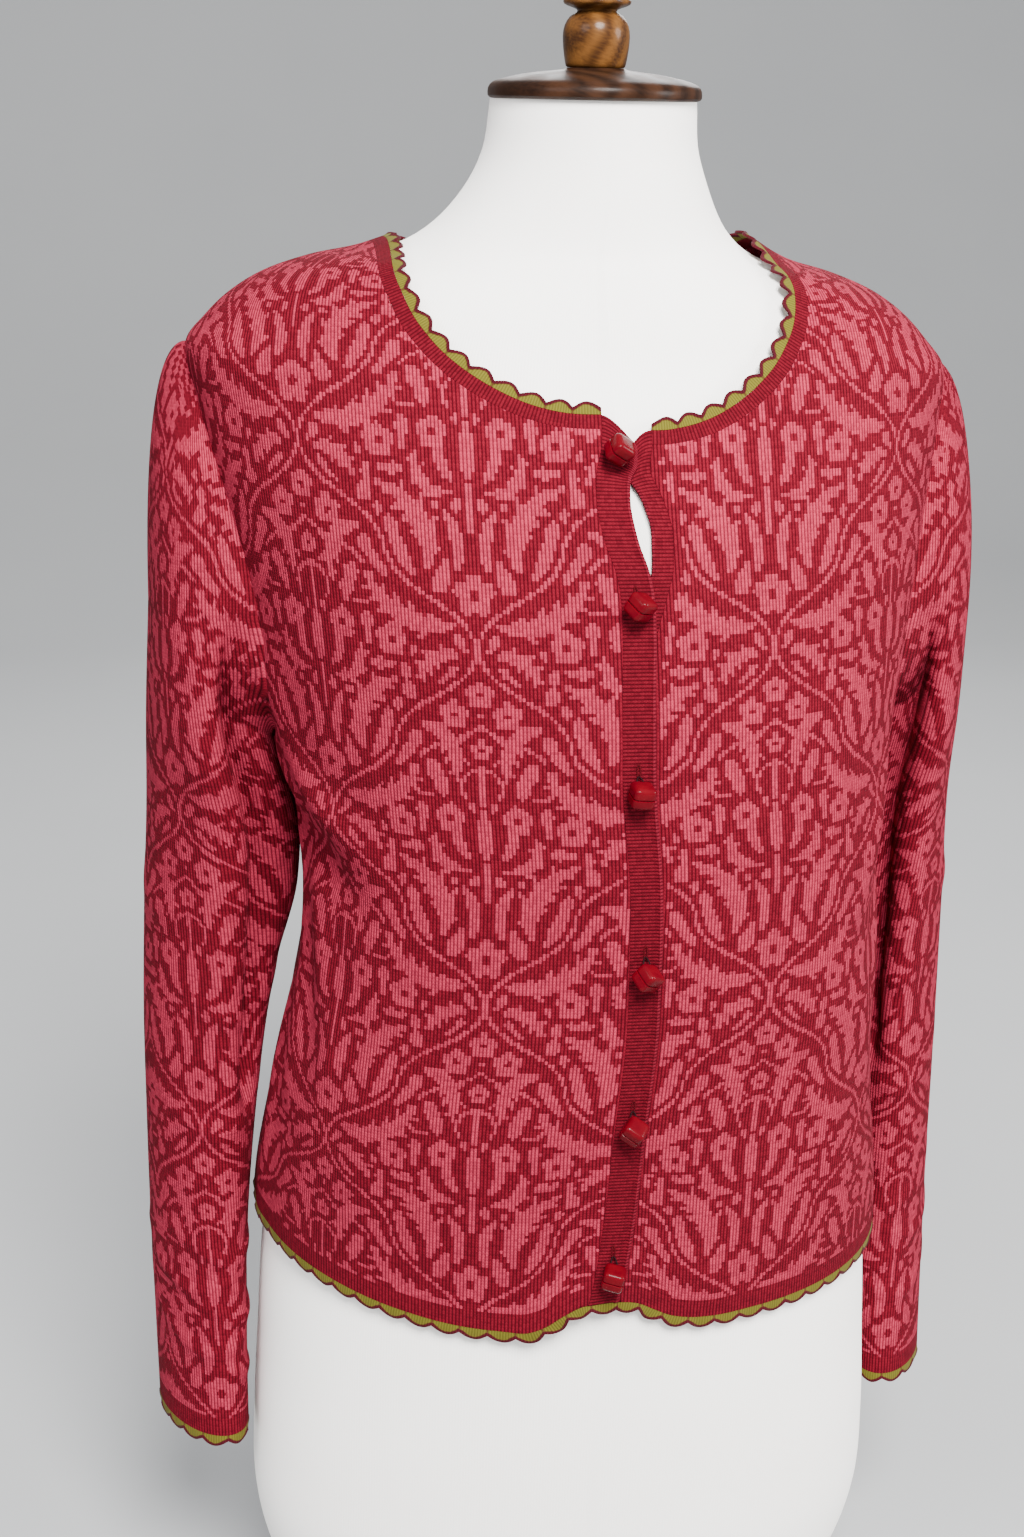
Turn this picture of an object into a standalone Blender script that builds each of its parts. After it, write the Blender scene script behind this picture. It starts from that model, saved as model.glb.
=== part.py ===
"""Button cardigan, worn on a limbless dress form.

Frame: metres, +Z up, z = 0 is the form's flat base, the buttoned front faces -Y.
"Right" and "left" are the wearer's, so the right front lies at -X.

The cloth follows one surface, the trunk.  A place on it is (row, turn):
row is the length along the side outline, from below the hem up over the shoulder;
turn is 0 at the centre front, 1 at the wearer's left side and shoulder seam,
2 at the centre back, and the same with a minus sign on the wearer's right.
"""

import bmesh
import bpy
import numpy as np
from mathutils import Euler

# ---------------------------------------------------------------- driving sizes
WALL = 0.0016            # knitted cloth
SEAM = 0.0003            # gap between sewn pieces
LAYER = 0.0024           # how far the overlapping right front stands over the left

HEM_Z = 0.2685           # bottom of the panels at the side seams
UNDERARM_Z = 0.548
TIP_Z = 0.745            # shoulder tip, top of the armhole
NECK_FRONT_Z = 0.7135    # the level from which the neckline's height is measured

BAND_HALF = 0.0080       # half the width of the right button band
LEFT_BAND = (-0.0045, 0.0057)    # the under band's edges from its line
NECKBAND = 0.0070
SCALLOP_BASE = 0.0030    # edging's plain part, then its round lobes
SCALLOP_LOBE = 0.0036
SCALLOP_PITCH = 0.0145
CORNER_CUT = (0.0140, 0.0070)    # how far the right and left bands' top corners slope down

FRONT_ARMHOLE_DIP = 0.240     # how far the armholes cut in, as a share of the quarter
BACK_ARMHOLE_DIP = 0.165
SLEEVE_START_OUT = 0.615      # where the sleeve hangs straight, outside and at the underarm
SLEEVE_START_IN = 0.545

BUTTON = 0.0112          # side of a rounded cube
BUTTON_Z = (0.711, 0.6445, 0.558, 0.466, 0.383, 0.301)
BUTTON_TILTS = (         # degrees about X, Z and Y
    (38, 20, 30), (30, 40, 12), (12, 8, 6), (34, 38, 20), (24, -20, 32), (10, -16, 12),
)

NECK_TOP_Z = 0.8700
CAP_Z = NECK_TOP_Z + SEAM
CAP_PROFILE = (          # radius and height of the neck cap, top to bottom
    (0.0000, CAP_Z + 0.0150),
    (0.0125, CAP_Z + 0.0150),
    (0.0160, CAP_Z + 0.0140),
    (0.0300, CAP_Z + 0.0125),
    (0.0430, CAP_Z + 0.0102),
    (0.0505, CAP_Z + 0.0078),
    (0.0530, CAP_Z + 0.0050),
    (0.0530, CAP_Z + 0.0018),
    (0.0515, CAP_Z),
    (0.0000, CAP_Z),
)
FINIAL_Z = CAP_Z + 0.0150 + SEAM
FINIAL_PROFILE = (
    (0.0000, FINIAL_Z + 0.0420),
    (0.0060, FINIAL_Z + 0.0412),
    (0.0105, FINIAL_Z + 0.0385),
    (0.0125, FINIAL_Z + 0.0345),
    (0.0160, FINIAL_Z + 0.0320),
    (0.0165, FINIAL_Z + 0.0300),
    (0.0120, FINIAL_Z + 0.0280),
    (0.0095, FINIAL_Z + 0.0262),
    (0.0130, FINIAL_Z + 0.0240),
    (0.0158, FINIAL_Z + 0.0195),
    (0.0164, FINIAL_Z + 0.0145),
    (0.0155, FINIAL_Z + 0.0095),
    (0.0125, FINIAL_Z + 0.0052),
    (0.0100, FINIAL_Z + 0.0034),
    (0.0118, FINIAL_Z + 0.0018),
    (0.0112, FINIAL_Z),
    (0.0000, FINIAL_Z),
)

# grid counts
SIDE_ROWS = 9
ARMHOLE_ROWS = 10
NECK_COLUMNS = 9
SHOULDER_COLUMNS = 4
BACK_NECK_COLUMNS = 10
SLEEVE_ROWS = 17
CAP_ROWS = 5
FORM_SIDES = 36
BAND_COLUMNS = 3
LOBE_STEPS = 4

# z, half width, y of the widest line, front depth, back depth, squareness front and back:
# the outside of the cloth
CLOTH = (
    (0.2300, 0.1772, 0.000, 0.1360, 0.1260, 2.30, 2.20),
    (0.2620, 0.1760, 0.000, 0.1360, 0.1240, 2.30, 2.20),
    (0.3000, 0.1735, -0.002, 0.1370, 0.1190, 2.34, 2.15),
    (0.3500, 0.1652, -0.006, 0.1390, 0.1110, 2.48, 2.10),
    (0.4000, 0.1575, -0.010, 0.1410, 0.1040, 2.60, 2.02),
    (0.4450, 0.1505, -0.012, 0.1430, 0.1000, 2.72, 2.00),
    (0.4850, 0.1500, -0.006, 0.1450, 0.0985, 2.72, 2.00),
    (0.5250, 0.1550, 0.004, 0.1465, 0.0985, 2.60, 2.04),
    (0.5600, 0.1635, 0.012, 0.1460, 0.1000, 2.46, 2.10),
    (0.6000, 0.1730, 0.018, 0.1430, 0.1040, 2.36, 2.16),
    (0.6500, 0.1820, 0.022, 0.1345, 0.1080, 2.32, 2.22),
    (0.6900, 0.1895, 0.024, 0.1210, 0.1100, 2.30, 2.26),
    (0.7200, 0.1950, 0.028, 0.1070, 0.1100, 2.30, 2.30),
    (0.7450, 0.1975, 0.030, 0.0935, 0.1080, 2.28, 2.28),
    (0.7575, 0.1880, 0.030, 0.0865, 0.1050, 2.26, 2.26),
    (0.7690, 0.1765, 0.029, 0.0810, 0.1010, 2.24, 2.24),
    (0.7800, 0.1600, 0.027, 0.0757, 0.0960, 2.20, 2.20),
    (0.7890, 0.1370, 0.024, 0.0707, 0.0890, 2.14, 2.14),
    (0.7960, 0.1100, 0.020, 0.0662, 0.0810, 2.08, 2.08),
    (0.8040, 0.0930, 0.016, 0.0625, 0.0750, 2.00, 2.00),
    (0.8140, 0.0790, 0.011, 0.0600, 0.0690, 2.00, 2.00),
)

# the same columns: the padded form
FORM = (
    (0.0000, 0.1180, 0.000, 0.0790, 0.0820, 2.30, 2.30),
    (0.0100, 0.1330, 0.000, 0.0900, 0.0940, 2.30, 2.30),
    (0.0360, 0.1520, 0.000, 0.1060, 0.1090, 2.30, 2.30),
    (0.0700, 0.1690, 0.000, 0.1180, 0.1190, 2.30, 2.30),
    (0.1050, 0.1765, -0.004, 0.1240, 0.1240, 2.30, 2.25),
    (0.1500, 0.1765, -0.006, 0.1270, 0.1250, 2.30, 2.20),
    (0.2000, 0.1740, -0.004, 0.1290, 0.1220, 2.30, 2.20),
    (0.2620, 0.1700, -0.002, 0.1300, 0.1160, 2.30, 2.20),
    (0.3200, 0.1610, -0.004, 0.1290, 0.1070, 2.32, 2.12),
    (0.3800, 0.1490, -0.007, 0.1270, 0.0980, 2.34, 2.04),
    (0.4400, 0.1400, -0.008, 0.1270, 0.0920, 2.40, 2.00),
    (0.5000, 0.1410, -0.002, 0.1330, 0.0915, 2.40, 2.00),
    (0.5600, 0.1545, 0.012, 0.1400, 0.0945, 2.36, 2.08),
    (0.6000, 0.1640, 0.018, 0.1385, 0.0990, 2.34, 2.14),
    (0.6500, 0.1735, 0.022, 0.1303, 0.1035, 2.30, 2.20),
    (0.6900, 0.1815, 0.024, 0.1170, 0.1058, 2.28, 2.24),
    (0.7200, 0.1865, 0.028, 0.1020, 0.1040, 2.28, 2.28),
    (0.7380, 0.1888, 0.030, 0.0905, 0.1007, 2.26, 2.26),
    (0.7520, 0.1822, 0.030, 0.0822, 0.0974, 2.24, 2.24),
    (0.7652, 0.1718, 0.029, 0.0765, 0.0945, 2.22, 2.22),
    (0.7762, 0.1545, 0.027, 0.0710, 0.0888, 2.18, 2.18),
    (0.7852, 0.1318, 0.024, 0.0658, 0.0822, 2.12, 2.12),
    (0.7920, 0.1065, 0.020, 0.0622, 0.0760, 2.06, 2.06),
    (0.7985, 0.0885, 0.018, 0.0585, 0.0695, 2.00, 2.00),
    (0.8075, 0.0760, 0.016, 0.0560, 0.0655, 2.00, 2.00),
    (0.8220, 0.0648, 0.013, 0.0535, 0.0605, 2.00, 2.00),
    (0.8460, 0.0540, 0.008, 0.0505, 0.0560, 2.00, 2.00),
    (0.8700, 0.0512, 0.003, 0.0490, 0.0535, 2.00, 2.00),
)
LEAN = 0.020             # the shoulders drop this much a metre towards the wearer's left
WAIST_SHIFT = 0.0040     # the waist stands this far to the wearer's left
SHIFT = -0.0045          # and the worn shoulders sit this far to the wearer's right

# z, centre x, centre y, half length front to back, half thickness, turn in degrees,
# and how far the wearer's left sleeve differs in x, y and half thickness
SLEEVE = (
    (0.6200, 0.1990, 0.0280, 0.0680, 0.0250, 2.0, -0.0050, 0.0080, 0.0000),
    (0.5550, 0.1972, 0.0270, 0.0640, 0.0293, 6.0, -0.0017, 0.0120, -0.0023),
    (0.5000, 0.1907, 0.0320, 0.0580, 0.0368, 10.0, 0.0048, 0.0130, -0.0078),
    (0.4400, 0.1934, 0.0320, 0.0510, 0.0368, 14.0, 0.0051, 0.0130, -0.0083),
    (0.3800, 0.1995, 0.0300, 0.0470, 0.0317, 18.0, 0.0015, 0.0140, -0.0042),
    (0.3200, 0.2035, 0.0240, 0.0450, 0.0268, 20.0, 0.0000, 0.0150, -0.0023),
    (0.2600, 0.2058, 0.0160, 0.0430, 0.0230, 22.0, -0.0008, 0.0160, -0.0015),
    (0.2000, 0.2058, 0.0060, 0.0410, 0.0208, 24.0, -0.0020, 0.0160, 0.0000),
    (0.1400, 0.2050, -0.0030, 0.0390, 0.0205, 24.0, -0.0020, 0.0160, 0.0000),
)
CUFF_Z = 0.1535

# z, sideways drift of the centre-front line, push of the right edge, of the left edge
PLACKET = (
    (0.2400, -0.0100, 0.0005, 0.0000),
    (0.2700, -0.0070, 0.0005, 0.0000),
    (0.3010, -0.0010, 0.0005, 0.0000),
    (0.3400, 0.0030, 0.0005, 0.0000),
    (0.3830, 0.0050, 0.0005, 0.0000),
    (0.4660, 0.0050, 0.0005, 0.0000),
    (0.5580, 0.0020, 0.0005, 0.0000),
    (0.6000, 0.0020, 0.0005, 0.0010),
    (0.6300, 0.0028, 0.0010, 0.0040),
    (0.6480, 0.0030, 0.0010, 0.0095),
    (0.6600, 0.0015, 0.0008, 0.0150),
    (0.6720, 0.0002, -0.0018, 0.0172),
    (0.6800, -0.0006, -0.0028, 0.0180),
    (0.6880, -0.0012, -0.0034, 0.0165),
    (0.6960, -0.0016, -0.0030, 0.0140),
    (0.7040, -0.0020, -0.0018, 0.0105),
    (0.7160, -0.0025, 0.0018, 0.0125),
    (0.7500, -0.0025, 0.0018, 0.0125),
)

# turn, rise of the hem there on the right half and the left half
HEM_RISE = (
    (0.000, 0.0128, 0.0120),
    (0.060, 0.0132, 0.0100),
    (0.095, 0.0085, 0.0055),
    (0.130, 0.0020, 0.0012),
    (0.170, -0.0028, -0.0012),
    (0.200, -0.0035, -0.0020),
    (0.300, -0.0020, -0.0020),
    (0.450, 0.0040, -0.0010),
    (0.650, 0.0130, 0.0010),
    (0.850, 0.0190, 0.0030),
    (1.000, 0.0200, 0.0040),
    (1.500, 0.0120, 0.0050),
    (2.000, 0.0070, 0.0070),
)

# turn, height of the neckline above its lowest level on the right half and the left half,
# as a length along the side outline
NECKLINE = (
    (0.00, 0.0088, 0.0034),
    (0.10, 0.0096, 0.0036),
    (0.20, 0.0167, 0.0110),
    (0.30, 0.0305, 0.0268),
    (0.40, 0.0528, 0.0520),
    (0.50, 0.0812, 0.0845),
    (0.60, 0.1060, 0.1120),
    (0.70, 0.1240, 0.1310),
    (0.85, 0.1380, 0.1465),
    (1.00, 0.1415, 0.1510),
    (1.25, 0.1335, 0.1400),
    (1.50, 0.1160, 0.1200),
    (1.75, 0.0990, 0.1000),
    (2.00, 0.0918, 0.0918),
)

# soft folds: turn and z at each end, half width, height (minus is a trough)
FOLDS = (
    (-0.030, 0.300, -0.190, 0.245, 0.011, 0.0060),
    (-0.080, 0.330, -0.130, 0.245, 0.012, -0.0030),
    (-0.795, 0.612, -0.760, 0.552, 0.013, 0.0035),
    (-0.765, 0.550, -0.560, 0.515, 0.012, 0.0065),
    (-0.860, 0.516, -0.620, 0.488, 0.013, -0.0055),
    (-0.820, 0.500, -0.680, 0.400, 0.012, 0.0045),
    (-0.930, 0.500, -0.820, 0.370, 0.012, 0.0045),
    (-0.960, 0.450, -0.900, 0.290, 0.010, 0.0035),
    (0.720, 0.560, 0.580, 0.480, 0.012, 0.0035),
    (0.840, 0.510, 0.730, 0.410, 0.012, 0.0040),
    (0.940, 0.500, 0.850, 0.360, 0.011, 0.0040),
    (0.960, 0.440, 0.900, 0.290, 0.010, 0.0030),
    (1.220, 0.520, 1.380, 0.420, 0.014, 0.0045),
    (1.140, 0.490, 1.260, 0.370, 0.013, 0.0045),
    (-1.240, 0.520, -1.400, 0.430, 0.014, 0.0045),
    (-1.130, 0.490, -1.240, 0.360, 0.013, 0.0050),
    (1.700, 0.470, 1.900, 0.440, 0.016, 0.0035),
    (-1.640, 0.450, -1.860, 0.415, 0.016, 0.0035),
)

# sleeve folds: angle in degrees (0 outside, 90 front, 180 inside) and z at each end,
# half width as an angle, height
SLEEVE_FOLDS = (
    (110.0, 0.610, 116.0, 0.360, 16.0, -0.0150),
    (146.0, 0.590, 148.0, 0.420, 14.0, 0.0030),
    (70.0, 0.560, 84.0, 0.330, 18.0, 0.0035),
    (235.0, 0.570, 228.0, 0.390, 20.0, -0.0090),
    (300.0, 0.520, 285.0, 0.340, 20.0, 0.0040),
)

MATERIALS = {
    # name: colour, roughness, metallic
    "jersey": ((0.86, 0.84, 0.82, 1.0), 0.90, 0.0),
    "knit": ((0.33, 0.020, 0.040, 1.0), 0.85, 0.0),
    "band_knit": ((0.27, 0.013, 0.028, 1.0), 0.85, 0.0),
    "edging": ((0.38, 0.32, 0.055, 1.0), 0.85, 0.0),
    "button": ((0.42, 0.012, 0.022, 1.0), 0.25, 0.0),
    "dark_wood": ((0.075, 0.026, 0.014, 1.0), 0.30, 0.0),
    "warm_wood": ((0.19, 0.065, 0.025, 1.0), 0.25, 0.0),
}


# ---------------------------------------------------------------- small helpers
def smooth_rows(table, at):
    """Read a table between its rows along a smooth curve; the first column is the key."""
    table = np.asarray(table, float)
    at = np.clip(np.asarray(at, float), table[0, 0], table[-1, 0])
    key, values = table[:, 0], table[:, 1:]
    step = np.diff(key)[:, None]
    slope = np.diff(values, axis=0) / step
    tangent = np.vstack([slope[:1], (slope[:-1] + slope[1:]) / 2, slope[-1:]])
    low = np.clip(np.searchsorted(key, at, side="right") - 1, 0, len(key) - 2)
    width = step[low]
    t = ((at - key[low])[..., None]) / width
    return ((2 * t**3 - 3 * t**2 + 1) * values[low] + (t**3 - 2 * t**2 + t) * width * tangent[low]
            + (3 * t**2 - 2 * t**3) * values[low + 1] + (t**3 - t**2) * width * tangent[low + 1])


def ease(x):
    x = np.clip(x, 0.0, 1.0)
    return x * x * (3 - 2 * x)


def unit(v):
    return v / np.maximum(np.linalg.norm(v, axis=-1, keepdims=True), 1e-12)


def evenly(points, count):
    """count + 1 places spaced evenly along a line of points."""
    length = np.concatenate([[0], np.cumsum(np.linalg.norm(np.diff(points, axis=0), axis=1))])
    at = np.linspace(0, length[-1], count + 1)
    return np.stack([np.interp(at, length, points[:, k]) for k in range(points.shape[1])], 1)


# ---------------------------------------------------------------- the trunk surface
class Trunk:
    """Horizontal sections joined smoothly; rows count length along the side outline."""

    QUARTER = np.linspace(0, np.pi / 2, 49)

    def __init__(self, sections):
        sections = np.asarray(sections, float)
        outline = sections[:, [1, 0]]
        steps = np.linalg.norm(np.diff(outline, axis=0), axis=1)
        self.row = np.concatenate([[0], np.cumsum(steps)])
        self.table = np.column_stack([self.row, sections])

    def row_at(self, z):
        return np.interp(z, self.table[:, 1], self.row)

    def section(self, row):
        return np.moveaxis(smooth_rows(self.table, row), -1, 0)

    def quarter(self, half, depth, square):
        """Points and running length of a quarter section, from the y axis to the side."""
        angle = self.QUARTER
        half, depth, square = (np.asarray(v)[..., None] for v in (half, depth, square))
        reach = ((np.cos(angle) / depth)**square + (np.sin(angle) / half)**square)**(-1 / square)
        x, y = reach * np.sin(angle), reach * np.cos(angle)
        steps = np.hypot(np.diff(x), np.diff(y))
        return x, y, np.concatenate([np.zeros_like(steps[..., :1]), np.cumsum(steps, -1)], -1)

    def quarter_length(self, row, back=False):
        z, half, middle, front, rear, ahead, behind = self.section(row)
        if back:
            return self.quarter(half, rear - middle, behind)[2][..., -1]
        return self.quarter(half, front + middle, ahead)[2][..., -1]

    def point(self, row, turn):
        row, turn = np.broadcast_arrays(np.asarray(row, float), np.asarray(turn, float))
        shape = row.shape
        row, turn = row.ravel(), turn.ravel()
        z, half, middle, front, rear, square, rear_square = self.section(row)
        lap = np.mod(turn + 2, 4) - 2
        behind = np.abs(lap) > 1
        depth = np.where(behind, rear - middle, front + middle)
        x, y, length = self.quarter(half, depth, np.where(behind, rear_square, square))
        share = np.where(behind, 2 - np.abs(lap), np.abs(lap)) * length[:, -1]
        index = np.clip((length <= share[:, None]).sum(1) - 1, 0, length.shape[1] - 2)
        pick = np.arange(len(row))
        t = (share - length[pick, index]) / (length[pick, index + 1] - length[pick, index])
        across = x[pick, index] + t * (x[pick, index + 1] - x[pick, index])
        across = across * np.sign(lap)
        depth = y[pick, index] + t * (y[pick, index + 1] - y[pick, index])
        drop = LEAN * across * ease((z - 0.58) / 0.16) * (1 - ease((z - 0.79) / 0.04))
        across = across + SHIFT * ease((z - 0.56) / 0.14) * (1 - ease((z - 0.79) / 0.05))
        across = across + WAIST_SHIFT * ease((z - 0.36) / 0.08) * (1 - ease((z - 0.50) / 0.07))
        out = np.stack([across, middle + np.where(behind, depth, -depth), z - drop], -1)
        return out.reshape(shape + (3,))

    def normal(self, row, turn, dr=0.002, dt=0.02):
        along = self.point(np.asarray(row) + dr, turn) - self.point(np.asarray(row) - dr, turn)
        round_ = self.point(row, np.asarray(turn) + dt) - self.point(row, np.asarray(turn) - dt)
        return unit(np.cross(round_, along))


cloth = Trunk(CLOTH)
form = Trunk(FORM)


def fold_height(turn, z):
    """Height of the soft folds at a place of the cloth."""
    height = np.zeros(np.broadcast(turn, z).shape)
    reach = 0.21         # rough length of a quarter turn, to measure a fold's width
    for turn_a, z_a, turn_b, z_b, width, rise in FOLDS:
        run = np.array([(turn_b - turn_a) * reach, z_b - z_a])
        across = (turn - turn_a) * reach
        up = z - z_a
        t = np.clip((across * run[0] + up * run[1]) / (run @ run), 0, 1)
        away = np.hypot(across - t * run[0], up - t * run[1])
        fade = 0.25 + 0.75 * np.sin(np.pi * np.clip(t, 0.04, 0.96))
        height = height + rise * fade * np.exp(-(away / width)**2)
    return height


def worn(row, turn, lift=0.0):
    """The outside of the worn cloth, with its folds."""
    row, turn = np.broadcast_arrays(np.asarray(row, float), np.asarray(turn, float))
    out = cloth.normal(row, turn)
    lap, z = np.mod(turn + 2, 4) - 2, cloth.section(row)[0]
    height = fold_height(lap, z) + fold_height(lap - 4 * np.sign(lap), z)
    return cloth.point(row, turn) + out * (height + lift)[..., None], out


# ---------------------------------------------------------------- cut lines, as (row, turn)
HEM_ROW = cloth.row_at(HEM_Z)
UNDERARM_ROW = cloth.row_at(UNDERARM_Z)
TIP_ROW = cloth.row_at(TIP_Z)
NECK_FRONT_ROW = cloth.row_at(NECK_FRONT_Z)
QUARTER = 0.225          # usual length of a quarter turn, to space places evenly


def placket(row):
    """How far the centre line, the right front's edge and the left's lie from the middle."""
    drift, right, left = np.moveaxis(smooth_rows(PLACKET, cloth.section(row)[0]), -1, 0)
    return drift, drift + right, drift + left


def turn_of(distance, row):
    return distance / cloth.quarter_length(row)


def front_edge(side, row):
    """Turn of the seam between a front and its button band."""
    drift, right, left = placket(row)
    return turn_of(right - BAND_HALF if side < 0 else left + LEFT_BAND[1], row)


def hem_row(turn, side):
    """Row of the panels' lower edge: it rises at the placket and at the right side."""
    right, left = np.moveaxis(smooth_rows(HEM_RISE, np.abs(turn)), -1, 0)
    return HEM_ROW + (right if side < 0 else left)


def neck_row(turn):
    """Row of the neckline at any turn."""
    lap = np.mod(np.asarray(turn, float) + 2, 4) - 2
    right, left = np.moveaxis(smooth_rows(NECKLINE, np.abs(lap)), -1, 0)
    return NECK_FRONT_ROW + np.where(lap < 0, right, left)


def armhole_line(side, behind):
    """The armhole's cut line on a front or the back, evenly spaced, underarm first."""
    t = np.linspace(0, 1, 161)
    dip = BACK_ARMHOLE_DIP if behind else -FRONT_ARMHOLE_DIP
    row = UNDERARM_ROW + (TIP_ROW - UNDERARM_ROW) * t
    turn = side * (1 + dip * np.sin(np.pi * t**0.62)**0.6)
    even = evenly(np.column_stack([row, turn * QUARTER]), ARMHOLE_ROWS)
    return even / (1, QUARTER)


def seam_turn(side, behind, length=QUARTER):
    """Turn of the side and shoulder seam's edge on a front or on the back."""
    gap = SEAM / 2 / length
    return side * (1 + gap if behind else 1 - gap)


def side_edge(side, behind):
    """Side seam and armhole of one panel, hem first."""
    turn = seam_turn(side, behind)
    rows = np.linspace(hem_row(1.0, side), UNDERARM_ROW, SIDE_ROWS + 1)[:-1]
    seam = np.column_stack([rows, np.full(SIDE_ROWS, turn)])
    arm = armhole_line(side, behind)
    arm[[0, -1], 1] = turn
    return np.vstack([seam, arm])


def shoulder_edge(side, behind):
    """Shoulder seam of one panel, from the shoulder tip to the neck."""
    rows = np.linspace(TIP_ROW, neck_row(side), SHOULDER_COLUMNS + 1)
    return np.column_stack([rows, np.full(len(rows), seam_turn(side, behind, 0.15))])


def neckline(start, end, columns):
    """Neckline between two turns, evenly spaced on the body."""
    turn = np.linspace(start, end, 161)
    row = neck_row(turn)
    place = evenly(np.column_stack([cloth.point(row, turn), row, turn]) * (1, 1, 1, 1e-6, 1e-6), columns)
    return place[:, 3:] * 1e6


# ---------------------------------------------------------------- walls
def mesh_object(name, points, faces, material):
    mesh = bpy.data.meshes.new(name)
    mesh.from_pydata([tuple(p) for p in points], [], faces)
    shape = bmesh.new()
    shape.from_mesh(mesh)
    bmesh.ops.recalc_face_normals(shape, faces=shape.faces)
    shape.to_mesh(mesh)
    shape.free()
    thing = bpy.data.objects.new(name, mesh)
    bpy.context.scene.collection.objects.link(thing)
    return finish(thing, material)


def finish(thing, material):
    """Material, smooth shading and a place in the garment's collection."""
    thing.data.materials.clear()
    thing.data.materials.append(bpy.data.materials[material])
    thing.data.shade_smooth()
    thing.data.set_sharp_from_angle(angle=np.radians(40))
    for owner in list(thing.users_collection):
        owner.objects.unlink(thing)
    bpy.data.collections["button_cardigan"].objects.link(thing)
    return thing


def wall_object(name, sheet, material, ring=False):
    """A closed wall of cloth: the sheet's outside points, and the same moved inwards."""
    outer, out = sheet
    rows, columns = outer.shape[:2]
    inside = rows * columns
    points = np.concatenate([outer, outer - out * WALL]).reshape(-1, 3)
    last = columns if ring else columns - 1
    faces = []

    def both(a, b, c, d):
        faces.append((a, b, c, d))
        faces.append((d + inside, c + inside, b + inside, a + inside))

    def rim(a, b):
        faces.append((a, b, b + inside, a + inside))

    for c in range(last):
        d = (c + 1) % columns
        for r in range(rows - 1):
            both(r * columns + c, r * columns + d, (r + 1) * columns + d, (r + 1) * columns + c)
        rim(d, c)
        rim((rows - 1) * columns + c, (rows - 1) * columns + d)
    if not ring:
        for r in range(rows - 1):
            rim(r * columns, (r + 1) * columns)
            rim((r + 2) * columns - 1, (r + 1) * columns - 1)
    return mesh_object(name, points, faces, material)


def coons(bottom, top, left, right):
    """A grid of (row, turn) places filled in from its four edges; the top's shape fades fast."""
    p = np.linspace(0, 1, len(bottom))[None, :, None]
    q = np.linspace(0, 1, len(left))[:, None, None]**3
    edges = (1 - q) * bottom[None] + q * top[None] + (1 - p) * left[:, None] + p * right[:, None]
    corners = ((1 - p) * (1 - q) * bottom[0] + p * (1 - q) * bottom[-1]
               + (1 - p) * q * top[0] + p * q * top[-1])
    return edges - corners


# ---------------------------------------------------------------- panels and bands
def front_grid(side):
    """(row, turn) grid of one front, its placket edge first."""
    right_edge = side_edge(side, False)
    start = front_edge(side, neck_row(side * 0.04))
    neck = neckline(start, side, NECK_COLUMNS)
    top = np.vstack([neck[:-1], shoulder_edge(side, False)[::-1]])
    right_edge[-1] = top[-1]
    share = np.linspace(0, 1, len(right_edge))
    share = 0.7 * share + 0.3 * (1 - (1 - share)**2)
    low = hem_row(front_edge(side, HEM_ROW), side)
    rows = low + (top[0, 0] - low) * share
    left_edge = np.column_stack([rows, front_edge(side, rows)])
    left_edge[:, 1] -= side * -1 * SEAM / 2 / QUARTER
    top[0] = left_edge[-1]
    turns = np.linspace(left_edge[0, 1], right_edge[0, 1], len(top))
    bottom = np.column_stack([hem_row(turns, side), turns])
    bottom[0], bottom[-1] = left_edge[0], right_edge[0]
    return coons(bottom, top, left_edge, right_edge)


def front_sheet(side):
    grid = front_grid(side)
    row, turn = grid[..., 0], grid[..., 1]
    away = np.abs(turn - front_edge(side, row)) * cloth.quarter_length(row)
    lift = LAYER * (1 - ease(away / 0.045)) if side < 0 else np.zeros_like(row)
    return worn(row, turn, lift)


def back_sheet():
    left = side_edge(1, True)
    right = side_edge(-1, True)
    right[:, 1] += 4
    shoulder = shoulder_edge(1, True)
    other = shoulder_edge(-1, True)[::-1]
    other[:, 1] += 4
    top = np.vstack([shoulder[:-1], neckline(1, 3, BACK_NECK_COLUMNS), other[1:]])
    top[SHOULDER_COLUMNS] = shoulder[-1]
    top[SHOULDER_COLUMNS + BACK_NECK_COLUMNS] = other[0]
    turns = np.linspace(left[0, 1], right[0, 1], len(top))
    across = (turns - 1) / 2
    hem = hem_row(np.minimum(turns, 4 - turns), 1) * (1 - ease(across))
    hem = hem + hem_row(np.minimum(turns, 4 - turns), -1) * ease(across)
    bottom = np.column_stack([hem, turns])
    bottom[0], bottom[-1] = left[0], right[0]
    left[-1], right[-1] = top[0], top[-1]
    grid = coons(bottom, top, left, right)
    return worn(grid[..., 0], grid[..., 1])


def band_sheet(side):
    """A button band, from its seam to its free edge; the top corner slopes down."""
    rows = front_grid(side)[:, 0, 0]
    rows = np.append(rows, rows[-1] + NECKBAND)
    drift, right, left = placket(rows)
    if side < 0:
        near, far = right - BAND_HALF + SEAM / 2, right + BAND_HALF
    else:
        near, far = left + LEFT_BAND[1] - SEAM / 2, left + LEFT_BAND[0]
    share = np.linspace(0, 1, BAND_COLUMNS + 1)
    distance = near[:, None] + (far - near)[:, None] * share
    slope_from = rows[-1] - NECKBAND - 0.03
    slope = ease((rows - slope_from) / (rows[-1] - slope_from))
    cut, bow = (CORNER_CUT[0], 1.5) if side < 0 else (CORNER_CUT[1], 2.0)
    row = rows[:, None] - cut * slope[:, None] * share**bow
    outer, out = worn(row, turn_of(distance, row), LAYER if side < 0 else 0.0)
    rise = outer[-1] - outer[-2]
    outer[-1] = outer[-2] + rise * NECKBAND / np.linalg.norm(rise[0])
    return outer, out


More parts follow.
